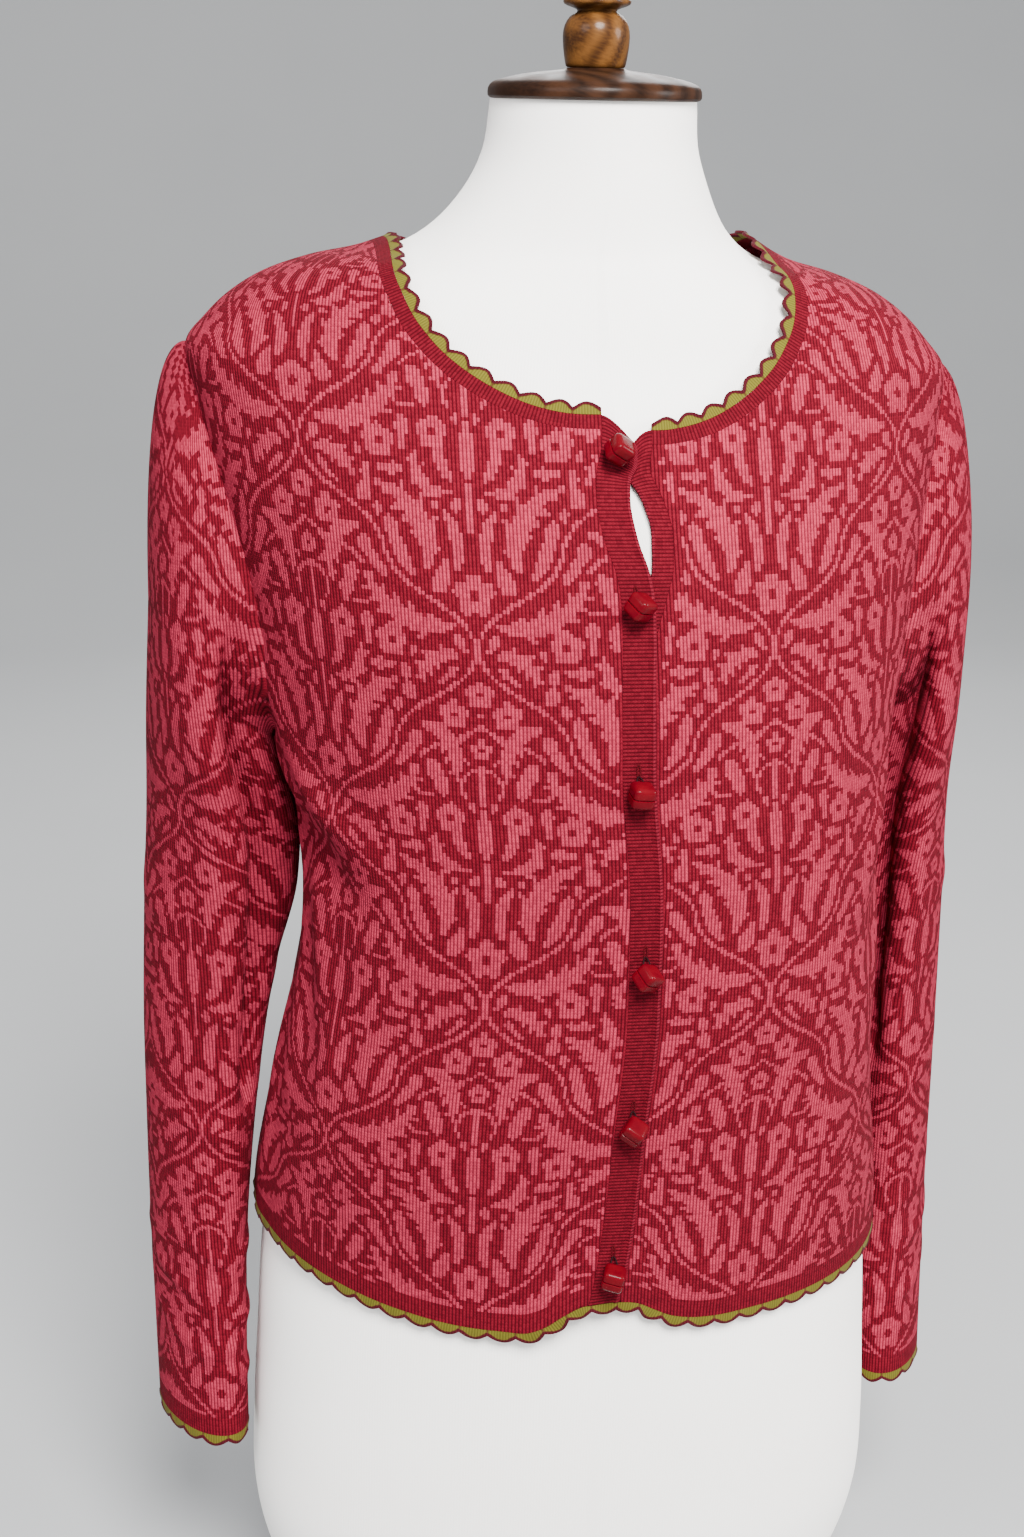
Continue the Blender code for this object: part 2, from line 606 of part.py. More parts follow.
# ---------------------------------------------------------------- sleeves
def sleeve_ring(side):
    """The sleeve's top edge, just inside the armhole: tip, front, underarm, back."""
    front = armhole_line(side, False)[::-1]
    back = armhole_line(side, True)[1:-1]
    loop = np.vstack([front, back])
    point, out = worn(loop[:, 0], loop[:, 1])
    along = unit(np.roll(point, -1, 0) - np.roll(point, 1, 0))
    inward = unit(np.cross(along, out)) * -side
    angle = np.arange(len(loop)) * 2 * np.pi / len(loop)
    gap = SEAM * (1.5 + 2.5 * ((1 - np.cos(angle)) / 2)**3)
    return point + inward * gap[:, None], out


def sleeve_fold(angle, z):
    """Height of the sleeve's own folds."""
    height = np.zeros(np.broadcast(angle, z).shape)
    for angle_a, z_a, angle_b, z_b, width, rise in SLEEVE_FOLDS:
        t = np.clip((z_a - z) / (z_a - z_b), 0, 1)
        middle = angle_a + (angle_b - angle_a) * t
        fade = ease((z_a - z) / 0.05 + 0.5) * ease((z - z_b) / 0.05 + 0.5)
        away = (np.degrees(angle) - middle + 180) % 360 - 180
        height = height + rise * fade * np.exp(-(away / width)**2)
    return height


def sleeve_section(side, z, angle):
    """Outside of the hanging sleeve; angle 0 is outermost, 90 degrees faces the front."""
    cx, cy, long_, thick, turn, dx, dy, slim = np.moveaxis(smooth_rows(SLEEVE[::-1], z), -1, 0)
    thick = thick + (slim if side > 0 else 0)
    fold = sleeve_fold(angle, z)
    x, y = np.cos(angle) * (thick + fold), -np.sin(angle) * (long_ + fold)
    turn = np.radians(turn)
    px = cx + x * np.cos(turn) + y * np.sin(turn)
    py = cy - x * np.sin(turn) + y * np.cos(turn)
    if side > 0:
        px, py = px + dx, py + dy
    return np.stack([side * px, py, np.broadcast_to(z, px.shape)], -1)


def sleeve_sheet(side):
    """Armhole row first: the cap bends over from the armhole, then the sleeve hangs."""
    ring, ring_out = sleeve_ring(side)
    angle = np.arange(len(ring)) * 2 * np.pi / len(ring)
    outside = (1 + np.cos(angle)) / 2
    start = SLEEVE_START_IN + (SLEEVE_START_OUT - SLEEVE_START_IN) * outside
    first = sleeve_section(side, start, angle)
    bend = np.stack([first[:, 0], 0.35 * first[:, 1] + 0.65 * ring[:, 1], ring[:, 2]], -1)
    cap = [(1 - t)**2 * ring + 2 * t * (1 - t) * bend + t**2 * first
           for t in np.linspace(0, 1, CAP_ROWS + 1)]
    hang = [sleeve_section(side, start + (CUFF_Z - start) * t, angle)
            for t in np.linspace(0, 1, SLEEVE_ROWS + 1)[1:]]
    outer = np.array(cap + hang)
    round_ = np.roll(outer, -1, 1) - np.roll(outer, 1, 1)
    out = unit(np.cross(round_, np.gradient(outer, axis=0))) * side
    under = ((1 - np.cos(angle)) / 2)**3            # at the underarm the cloth folds right back
    out[0] = unit(out[0] + ring_out + under[:, None] * (0, 0, -1))
    return outer, out


# ---------------------------------------------------------------- neckband and edgings
def chain(*stretches):
    """Stretches of (points, ways out) joined end to end; ends that meet become one."""
    points, outs = [], []
    for place, out in stretches:
        place, out = list(place), list(out)
        if points and np.linalg.norm(points[-1] - place[0]) < 2 * SEAM:
            points[-1] = (points[-1] + place[0]) / 2
            place, out = place[1:], out[1:]
        points += place
        outs += out
    return np.array(points), np.array(outs)


def across_line(points, out, upward, ring=False):
    """The way across a line within the cloth, upward or downward."""
    if ring:
        along = np.roll(points, -1, 0) - np.roll(points, 1, 0)
    else:
        along = np.gradient(points, axis=0)
    way = unit(np.cross(unit(along), out))
    return way if (way[:, 2].mean() > 0) == upward else -way


def strip(base, out, across, reach):
    """A sheet beside a line: reach[row, column] is the distance from the line."""
    reach = np.asarray(reach)[..., None]
    outer = base[None] + across[None] * reach
    return outer, np.broadcast_to(out[None], outer.shape)


def scallops(base, out, across, start, ring=False):
    """A narrow edging whose free edge runs in round lobes."""
    if ring:
        base, out, across = (np.vstack([v, v[:1]]) for v in (base, out, across))
    steps = np.linalg.norm(np.diff(base, axis=0), axis=1)
    length = np.concatenate([[0], np.cumsum(steps)])
    lobes = max(1, round(length[-1] / SCALLOP_PITCH))
    count = lobes * LOBE_STEPS
    at = np.linspace(0, length[-1], count + 1)[:count if ring else count + 1]
    base, out, across = (np.stack([np.interp(at, length, v[:, k]) for k in range(3)], 1)
                         for v in (base, out, across))
    lobe = np.abs(np.sin(np.pi * np.arange(len(at)) / LOBE_STEPS))**0.7
    plain = np.full(len(at), SCALLOP_BASE)
    reach = start + np.array([plain * 0, plain + SCALLOP_LOBE * lobe])
    return strip(base, unit(out), unit(across), reach)


def neck_line(sheets):
    """The neckline from the right band round the back to the left band."""
    right, left, back = sheets["right_front"], sheets["left_front"], sheets["back"]
    first, last = SHOULDER_COLUMNS, SHOULDER_COLUMNS + BACK_NECK_COLUMNS
    ends = NECK_COLUMNS + 1
    base, out = chain([v[-1, :ends] for v in right], [v[-1, first:last + 1][::-1] for v in back],
                      [v[-1, :ends][::-1] for v in left])
    across = across_line(base, out, upward=True)
    for end, band in ((0, "right_band"), (-1, "left_band")):
        across[end] = unit(sheets[band][0][-1, 0] - sheets[band][0][-2, 0])
    return base, out, across


def hem_line(sheets):
    """The hem from the right band's free edge round the back to the left band's."""
    base, out = chain([v[0, ::-1] for v in sheets["right_band"]], [v[0] for v in sheets["right_front"]],
                      [v[0, ::-1] for v in sheets["back"]], [v[0, ::-1] for v in sheets["left_front"]],
                      [v[0] for v in sheets["left_band"]])
    return base, out, across_line(base, out, upward=False)


# ---------------------------------------------------------------- buttons, cap and finial
def make_button(number, z):
    """A rounded cube that stands on one edge, just clear of the right band."""
    row = cloth.row_at(z)
    drift = placket(row)[0]
    place, out = worn(row, turn_of(drift, row), LAYER)
    bpy.ops.mesh.primitive_cube_add(size=BUTTON)
    thing = bpy.context.object
    thing.name = thing.data.name = f"button_{number}"
    shape = bmesh.new()
    shape.from_mesh(thing.data)
    bmesh.ops.bevel(shape, geom=shape.edges[:], offset=BUTTON * 0.2, segments=2, profile=0.6,
                    affect="EDGES")
    tilt, spin, roll = BUTTON_TILTS[number - 1]
    turned = Euler(np.radians((tilt, roll, spin)), "XYZ").to_matrix()
    bmesh.ops.rotate(shape, verts=shape.verts, cent=(0, 0, 0), matrix=turned)
    lowest = min(float(np.dot(v.co, out)) for v in shape.verts)
    centre = place + out * (1.6 * SEAM - lowest)
    bmesh.ops.translate(shape, verts=shape.verts, vec=tuple(centre))
    shape.to_mesh(thing.data)
    shape.free()
    return finish(thing, "button")


def make_turned(name, profile, material, sides):
    """A turned piece: its profile of (radius, z), top to bottom, spun round the z axis."""
    mesh = bpy.data.meshes.new(name)
    mesh.from_pydata([(r, 0, z) for r, z in profile], [(i, i + 1) for i in range(len(profile) - 1)], [])
    thing = bpy.data.objects.new(name, mesh)
    bpy.context.scene.collection.objects.link(thing)
    spin = thing.modifiers.new("turned", "SCREW")
    spin.steps = spin.render_steps = sides
    spin.use_merge_vertices = True
    spin.merge_threshold = 0.00005
    return finish(thing, material)


def make_form(name):
    """The padded form: neck and body in one, with a flat base and a flat neck top."""
    turns = np.arange(FORM_SIDES) * 4 / FORM_SIDES
    points = form.point(form.row[:, None], turns[None])
    rings = np.arange(points.shape[0] * FORM_SIDES).reshape(-1, FORM_SIDES)
    faces = [tuple(int(v) for v in rings[0]), tuple(int(v) for v in rings[-1])]
    for low, high in zip(rings[:-1], rings[1:]):
        for c in range(FORM_SIDES):
            d = (c + 1) % FORM_SIDES
            faces.append(tuple(int(v) for v in (low[c], low[d], high[d], high[c])))
    return mesh_object(name, points.reshape(-1, 3), faces, "jersey")


# ---------------------------------------------------------------- build
def make_materials():
    for name, (colour, rough, metal) in MATERIALS.items():
        material = bpy.data.materials.new(name)
        material.use_nodes = True
        shader = material.node_tree.nodes["Principled BSDF"]
        shader.inputs["Base Color"].default_value = colour
        shader.inputs["Roughness"].default_value = rough
        shader.inputs["Metallic"].default_value = metal


def main():
    for thing in list(bpy.data.objects):
        bpy.data.objects.remove(thing, do_unlink=True)
    bpy.context.scene.collection.children.link(bpy.data.collections.new("button_cardigan"))
    make_materials()
    make_form("form_torso")
    make_turned("neck_cap", CAP_PROFILE, "dark_wood", 32)
    make_turned("finial", FINIAL_PROFILE, "warm_wood", 22)

    sheets = {
        "right_front": front_sheet(-1),
        "left_front": front_sheet(1),
        "back": back_sheet(),
        "right_band": band_sheet(-1),
        "left_band": band_sheet(1),
        "right_sleeve": sleeve_sheet(-1),
        "left_sleeve": sleeve_sheet(1),
    }
    for name, sheet in sheets.items():
        wall_object(name, sheet, "band_knit" if "band" in name else "knit", "sleeve" in name)

    neck = neck_line(sheets)
    columns = np.ones(len(neck[0]))
    wall_object("neckband", strip(*neck, [SEAM * columns, (SEAM + NECKBAND) * columns]), "band_knit")
    wall_object("neck_edging", scallops(*neck, NECKBAND + 2 * SEAM), "edging")
    wall_object("hem_edging", scallops(*hem_line(sheets), 1.8 * SEAM), "edging")
    for name in ("right", "left"):
        base, out = (v[-1] for v in sheets[f"{name}_sleeve"])
        across = across_line(base, out, upward=False, ring=True)
        wall_object(f"{name}_cuff_edging", scallops(base, out, across, SEAM, ring=True), "edging", True)

    for number, z in enumerate(BUTTON_Z, 1):
        make_button(number, z)


main()
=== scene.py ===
# %% [markdown]
# # A button cardigan on a dress form
# The cardigan is fine jacquard knitwear: two yarns, one crimson and one rose, make
# a damask of leaves and flowers.  It hangs on a padded form with a wooden neck cap.
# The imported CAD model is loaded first; everything after it is dressed around it.

import bmesh
import bpy
import numpy as np
from mathutils import Euler, Matrix, Vector


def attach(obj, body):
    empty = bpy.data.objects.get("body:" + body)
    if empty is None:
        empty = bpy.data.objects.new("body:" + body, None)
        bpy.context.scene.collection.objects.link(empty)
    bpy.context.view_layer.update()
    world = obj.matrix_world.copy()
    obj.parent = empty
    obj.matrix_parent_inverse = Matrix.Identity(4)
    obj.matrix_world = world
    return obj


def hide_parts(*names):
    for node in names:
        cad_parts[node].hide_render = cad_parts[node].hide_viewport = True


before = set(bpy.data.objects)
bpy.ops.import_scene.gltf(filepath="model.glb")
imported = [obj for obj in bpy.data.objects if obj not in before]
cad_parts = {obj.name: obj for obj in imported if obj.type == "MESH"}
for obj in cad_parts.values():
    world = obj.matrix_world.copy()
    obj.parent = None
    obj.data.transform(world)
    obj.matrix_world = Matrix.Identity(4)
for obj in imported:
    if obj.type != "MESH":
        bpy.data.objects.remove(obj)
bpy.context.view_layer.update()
bpy.ops.object.select_all(action="DESELECT")
print("CAD nodes:", len(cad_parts))


def in_scene(name, data):
    """A new object with its data, in the scene."""
    thing = bpy.data.objects.new(name, data)
    bpy.context.scene.collection.objects.link(thing)
    return thing


# %% [markdown]
# ## Camera
# The picture is taken from 1.16 m, a little to the wearer's right and above the
# bust, tipped down 17 degrees.  The lens is worked out from a focal length given
# in pixels of a picture 1537 pixels high.

# %% Camera
PICTURE = (1024, 1537)
FOCAL_PIXELS = 2250.0
DISTANCE, AZIMUTH, HEIGHT = 1.16, -11.0, 0.875     # metres, degrees, metres
TIP_DOWN, ROLL, YAW = 16.83, 1.2, 1.67             # degrees


def camera_axes():
    """Eye, way of looking, and the picture's right and up, in the row frame."""
    azimuth, tip, roll, yaw = np.radians([AZIMUTH, TIP_DOWN, ROLL, YAW])
    eye = np.array([DISTANCE * np.sin(azimuth), -DISTANCE * np.cos(azimuth), HEIGHT])
    level, plumb = np.array([-np.sin(azimuth + yaw), np.cos(azimuth + yaw), 0.0]), np.array([0, 0, 1.0])
    right = np.cross(level, plumb)
    look = level * np.cos(tip) - plumb * np.sin(tip)
    up = np.cross(right, look)
    return (eye, look, right * np.cos(roll) + up * np.sin(roll),
            up * np.cos(roll) - right * np.sin(roll))


eye, look, right, up = camera_axes()
lens = bpy.data.cameras.new("camera")
lens.sensor_width = 36.0                  # the picture's long side, in millimetres
lens.lens = FOCAL_PIXELS / PICTURE[1] * lens.sensor_width
camera = in_scene("camera", lens)
axes = np.column_stack([right, up, -look, eye])
camera.matrix_world = Matrix([*axes.tolist(), (0, 0, 0, 1)])
bpy.context.scene.camera = camera
print(f"lens {lens.lens:.1f} mm at {eye.round(3)}")

# %% [markdown]
# ## The surface that the cloth follows
# A place on the trunk is (row, turn): row is the length along the side outline,
# turn is 0 at the centre front, 1 at the wearer's left side, 2 at the centre back,
# and minus on the wearer's right.  Sections are super-ellipses read from a table.

# %% Sizes of the cut, in metres
WALL, SEAM, LAYER = 0.0016, 0.0001, 0.0024       # sewn edges all but touch
HEM_Z, UNDERARM_Z, TIP_Z = 0.2685, 0.548, 0.745
NECK_FRONT_Z = 0.7135                      # the level that NECKLINE counts from
BAND_HALF, LEFT_BAND, NECKBAND = 0.0080, (-0.0045, 0.0057), 0.0070
SCALLOP_BASE, SCALLOP_LOBE, SCALLOP_PITCH, CORNER_CUT = 0.0030, 0.0036, 0.0145, (0.0140, 0.0070)
FRONT_ARMHOLE_DIP, BACK_ARMHOLE_DIP = 0.240, 0.165
SLEEVE_START_OUT, SLEEVE_START_IN, CUFF_Z = 0.615, 0.545, 0.1535
NECK_TOP_Z, CHEST_Z = 0.8700, 0.56
LAP_FADE = 0.045                           # from the band's seam, where the overlap's lift ends
# the trunk's lean and its sideways shifts; each comes in from one z over a stretch, and goes out
# from another
LEAN, SHIFT, WAIST_SHIFT = 0.020, -0.0045, 0.0040
LEAN_SPAN = ((0.58, 0.16), (0.79, 0.04))
SHIFT_SPAN = ((0.56, 0.14), (0.79, 0.05))
WAIST_SPAN = ((0.36, 0.08), (0.50, 0.07))

# %% Tables of the trunk, the form, the sleeves and the cut
# z, half width, y of the widest line, front depth, back depth, squareness front and back
CLOTH = (
    (0.2300, 0.1772, 0.000, 0.1360, 0.1260, 2.30, 2.20),
    (0.2620, 0.1760, 0.000, 0.1360, 0.1240, 2.30, 2.20),
    (0.3000, 0.1735, -0.002, 0.1370, 0.1190, 2.34, 2.15),
    (0.3500, 0.1652, -0.006, 0.1390, 0.1110, 2.48, 2.10),
    (0.4000, 0.1575, -0.010, 0.1410, 0.1040, 2.60, 2.02),
    (0.4450, 0.1505, -0.012, 0.1430, 0.1000, 2.72, 2.00),
    (0.4850, 0.1500, -0.006, 0.1450, 0.0985, 2.72, 2.00),
    (0.5250, 0.1550, 0.004, 0.1465, 0.0985, 2.60, 2.04),
    (0.5600, 0.1635, 0.012, 0.1460, 0.1000, 2.46, 2.10),
    (0.6000, 0.1730, 0.018, 0.1430, 0.1040, 2.36, 2.16),
    (0.6500, 0.1820, 0.022, 0.1345, 0.1080, 2.32, 2.22),
    (0.6900, 0.1895, 0.024, 0.1210, 0.1100, 2.30, 2.26),
    (0.7200, 0.1950, 0.028, 0.1070, 0.1100, 2.30, 2.30),
    (0.7450, 0.1975, 0.030, 0.0935, 0.1080, 2.28, 2.28),
    (0.7575, 0.1880, 0.030, 0.0865, 0.1050, 2.26, 2.26),
    (0.7690, 0.1765, 0.029, 0.0810, 0.1010, 2.24, 2.24),
    (0.7800, 0.1600, 0.027, 0.0757, 0.0960, 2.20, 2.20),
    (0.7890, 0.1370, 0.024, 0.0707, 0.0890, 2.14, 2.14),
    (0.7960, 0.1100, 0.020, 0.0662, 0.0810, 2.08, 2.08),
    (0.8040, 0.0930, 0.016, 0.0625, 0.0750, 2.00, 2.00),
    (0.8140, 0.0790, 0.011, 0.0600, 0.0690, 2.00, 2.00),
)
# the same columns: the padded form
FORM = (
    (0.0000, 0.1180, 0.000, 0.0790, 0.0820, 2.30, 2.30),
    (0.0100, 0.1330, 0.000, 0.0900, 0.0940, 2.30, 2.30),
    (0.0360, 0.1520, 0.000, 0.1060, 0.1090, 2.30, 2.30),
    (0.0700, 0.1690, 0.000, 0.1180, 0.1190, 2.30, 2.30),
    (0.1050, 0.1765, -0.004, 0.1240, 0.1240, 2.30, 2.25),
    (0.1500, 0.1765, -0.006, 0.1270, 0.1250, 2.30, 2.20),
    (0.2000, 0.1740, -0.004, 0.1290, 0.1220, 2.30, 2.20),
    (0.2620, 0.1700, -0.002, 0.1300, 0.1160, 2.30, 2.20),
    (0.3200, 0.1610, -0.004, 0.1290, 0.1070, 2.32, 2.12),
    (0.3800, 0.1490, -0.007, 0.1270, 0.0980, 2.34, 2.04),
    (0.4400, 0.1400, -0.008, 0.1270, 0.0920, 2.40, 2.00),
    (0.5000, 0.1410, -0.002, 0.1330, 0.0915, 2.40, 2.00),
    (0.5600, 0.1545, 0.012, 0.1400, 0.0945, 2.36, 2.08),
    (0.6000, 0.1640, 0.018, 0.1385, 0.0990, 2.34, 2.14),
    (0.6500, 0.1735, 0.022, 0.1303, 0.1035, 2.30, 2.20),
    (0.6900, 0.1815, 0.024, 0.1170, 0.1058, 2.28, 2.24),
    (0.7200, 0.1865, 0.028, 0.1020, 0.1040, 2.28, 2.28),
    (0.7380, 0.1888, 0.030, 0.0905, 0.1007, 2.26, 2.26),
    (0.7520, 0.1822, 0.030, 0.0822, 0.0974, 2.24, 2.24),
    (0.7652, 0.1718, 0.029, 0.0765, 0.0945, 2.22, 2.22),
    (0.7762, 0.1545, 0.027, 0.0710, 0.0888, 2.18, 2.18),
    (0.7852, 0.1318, 0.024, 0.0658, 0.0822, 2.12, 2.12),
    (0.7920, 0.1065, 0.020, 0.0622, 0.0760, 2.06, 2.06),
    (0.7985, 0.0885, 0.018, 0.0585, 0.0695, 2.00, 2.00),
    (0.8075, 0.0760, 0.016, 0.0560, 0.0655, 2.00, 2.00),
    (0.8220, 0.0648, 0.013, 0.0535, 0.0605, 2.00, 2.00),
    (0.8460, 0.0540, 0.008, 0.0505, 0.0560, 2.00, 2.00),
    (0.8700, 0.0512, 0.003, 0.0490, 0.0535, 2.00, 2.00),
)
# z, centre x, centre y, half length front to back, half thickness, turn in degrees,
# and how far the wearer's left sleeve differs in x, y and half thickness
SLEEVE = (
    (0.6200, 0.1990, 0.0280, 0.0680, 0.0250, 2.0, -0.0050, 0.0080, 0.0000),
    (0.5550, 0.1972, 0.0270, 0.0640, 0.0293, 6.0, -0.0017, 0.0120, -0.0023),
    (0.5000, 0.1907, 0.0320, 0.0580, 0.0368, 10.0, 0.0048, 0.0130, -0.0078),
    (0.4400, 0.1934, 0.0320, 0.0510, 0.0368, 14.0, 0.0051, 0.0130, -0.0083),
    (0.3800, 0.1995, 0.0300, 0.0470, 0.0317, 18.0, 0.0015, 0.0140, -0.0042),
    (0.3200, 0.2035, 0.0240, 0.0450, 0.0268, 20.0, 0.0000, 0.0150, -0.0023),
    (0.2600, 0.2058, 0.0160, 0.0430, 0.0230, 22.0, -0.0008, 0.0160, -0.0015),
    (0.2000, 0.2058, 0.0060, 0.0410, 0.0208, 24.0, -0.0020, 0.0160, 0.0000),
    (0.1400, 0.2050, -0.0030, 0.0390, 0.0205, 24.0, -0.0020, 0.0160, 0.0000),
)
# z, sideways drift of the centre-front line, push of the right edge, of the left edge
PLACKET = (
    (0.2400, -0.0100, 0.0005, 0.0000),
    (0.2700, -0.0070, 0.0005, 0.0000),
    (0.3010, -0.0010, 0.0005, 0.0000),
    (0.3400, 0.0030, 0.0005, 0.0000),
    (0.3830, 0.0050, 0.0005, 0.0000),
    (0.4660, 0.0050, 0.0005, 0.0000),
    (0.5580, 0.0020, 0.0005, 0.0000),
    (0.6000, 0.0020, 0.0005, 0.0010),
    (0.6300, 0.0028, 0.0010, 0.0040),
    (0.6480, 0.0030, 0.0010, 0.0095),
    (0.6600, 0.0015, 0.0008, 0.0150),
    (0.6720, 0.0002, -0.0018, 0.0172),
    (0.6800, -0.0006, -0.0028, 0.0180),
    (0.6880, -0.0012, -0.0034, 0.0165),
    (0.6960, -0.0016, -0.0030, 0.0140),
    (0.7040, -0.0020, -0.0018, 0.0105),
    (0.7160, -0.0025, 0.0018, 0.0125),
    (0.7500, -0.0025, 0.0018, 0.0125),
)
# turn, rise of the hem there on the right half and the left half
HEM_RISE = (
    (0.000, 0.0128, 0.0120),
    (0.060, 0.0132, 0.0100),
    (0.095, 0.0085, 0.0055),
    (0.130, 0.0020, 0.0012),
    (0.170, -0.0028, -0.0012),
    (0.200, -0.0035, -0.0020),
    (0.300, -0.0020, -0.0020),
    (0.450, 0.0040, -0.0010),
    (0.650, 0.0130, 0.0010),
    (0.850, 0.0190, 0.0030),
    (1.000, 0.0200, 0.0040),
    (1.500, 0.0120, 0.0050),
    (2.000, 0.0070, 0.0070),
)
# turn, height of the neckline there on the right half and the left half
NECKLINE = (
    (0.00, 0.0088, 0.0034),
    (0.10, 0.0096, 0.0036),
    (0.20, 0.0167, 0.0110),
    (0.30, 0.0305, 0.0268),
    (0.40, 0.0528, 0.0520),
    (0.50, 0.0812, 0.0845),
    (0.60, 0.1060, 0.1120),
    (0.70, 0.1240, 0.1310),
    (0.85, 0.1380, 0.1465),
    (1.00, 0.1415, 0.1510),
    (1.25, 0.1335, 0.1400),
    (1.50, 0.1160, 0.1200),
    (1.75, 0.0990, 0.1000),
    (2.00, 0.0918, 0.0918),
)
# soft folds: turn and z at each end, half width, height (minus is a trough)
FOLDS = (
    (-0.030, 0.300, -0.190, 0.245, 0.011, 0.0060),
    (-0.080, 0.330, -0.130, 0.245, 0.012, -0.0030),
    (-0.795, 0.612, -0.760, 0.552, 0.013, 0.0035),
    (-0.765, 0.550, -0.560, 0.515, 0.012, 0.0065),
    (-0.860, 0.516, -0.620, 0.488, 0.013, -0.0055),
    (-0.820, 0.500, -0.680, 0.400, 0.012, 0.0045),
    (-0.930, 0.500, -0.820, 0.370, 0.012, 0.0045),
    (-0.960, 0.450, -0.900, 0.290, 0.010, 0.0035),
    (0.720, 0.560, 0.580, 0.480, 0.012, 0.0035),
    (0.840, 0.510, 0.730, 0.410, 0.012, 0.0040),
    (0.940, 0.500, 0.850, 0.360, 0.011, 0.0040),
    (0.960, 0.440, 0.900, 0.290, 0.010, 0.0030),
    (1.220, 0.520, 1.380, 0.420, 0.014, 0.0045),
    (1.140, 0.490, 1.260, 0.370, 0.013, 0.0045),
    (-1.240, 0.520, -1.400, 0.430, 0.014, 0.0045),
    (-1.130, 0.490, -1.240, 0.360, 0.013, 0.0050),
    (1.700, 0.470, 1.900, 0.440, 0.016, 0.0035),
    (-1.640, 0.450, -1.860, 0.415, 0.016, 0.0035),
)
# sleeve folds: angle in degrees (0 outside, 90 front, 180 inside) and z at each end,
# half width as an angle, height
SLEEVE_FOLDS = (
    (110.0, 0.620, 116.0, 0.350, 13.0, -0.0180),
    (142.0, 0.600, 148.0, 0.440, 18.0, 0.0060),
    (70.0, 0.560, 84.0, 0.330, 18.0, 0.0035),
    (235.0, 0.570, 228.0, 0.390, 20.0, -0.0090),
    (300.0, 0.520, 285.0, 0.340, 20.0, 0.0040),
    (172.0, 0.575, 176.0, 0.480, 24.0, 0.0036),
)


# %% Reading tables and measuring lines
def smooth_rows(table, at):
    """Read a table along a smooth curve by its first column; gives each other column's values."""
    table = np.asarray(table, float)
    at = np.clip(np.asarray(at, float), table[0, 0], table[-1, 0])
    key, values = table[:, 0], table[:, 1:]
    step = np.diff(key)[:, None]
    slope = np.diff(values, axis=0) / step
    tangent = np.vstack([slope[:1], (slope[:-1] + slope[1:]) / 2, slope[-1:]])
    low = np.clip(np.searchsorted(key, at, side="right") - 1, 0, len(key) - 2)
    width = step[low]
    t = ((at - key[low])[..., None]) / width
    read = ((2 * t**3 - 3 * t**2 + 1) * values[low] + (t**3 - 2 * t**2 + t) * width * tangent[low]
            + (3 * t**2 - 2 * t**3) * values[low + 1] + (t**3 - t**2) * width * tangent[low + 1])
    return np.moveaxis(read, -1, 0)


def ease(x):
    x = np.clip(x, 0.0, 1.0)
    return x * x * (3 - 2 * x)


def between(amount, z, rise, fall):
    """An amount that comes in over one stretch of heights and goes out over another."""
    return amount * ease((z - rise[0]) / rise[1]) * (1 - ease((z - fall[0]) / fall[1]))


def lap_of(turn):
    """A turn counted from -2 to 2: minus on the wearer's right."""
    return np.mod(turn + 2, 4) - 2


def unit(v):
    return v / np.maximum(np.linalg.norm(v, axis=-1, keepdims=True), 1e-12)


def running(points):
    """Length along a line of points, from 0."""
    return np.concatenate([[0], np.cumsum(np.linalg.norm(np.diff(points, axis=0), axis=1))])


def read_line(at, length, points):
    return np.stack([np.interp(at, length, points[:, k]) for k in range(points.shape[1])], 1)


def evenly(points, count):
    """count + 1 places spaced evenly along a line of points."""
    length = running(points)
    return read_line(np.linspace(0, length[-1], count + 1), length, points)


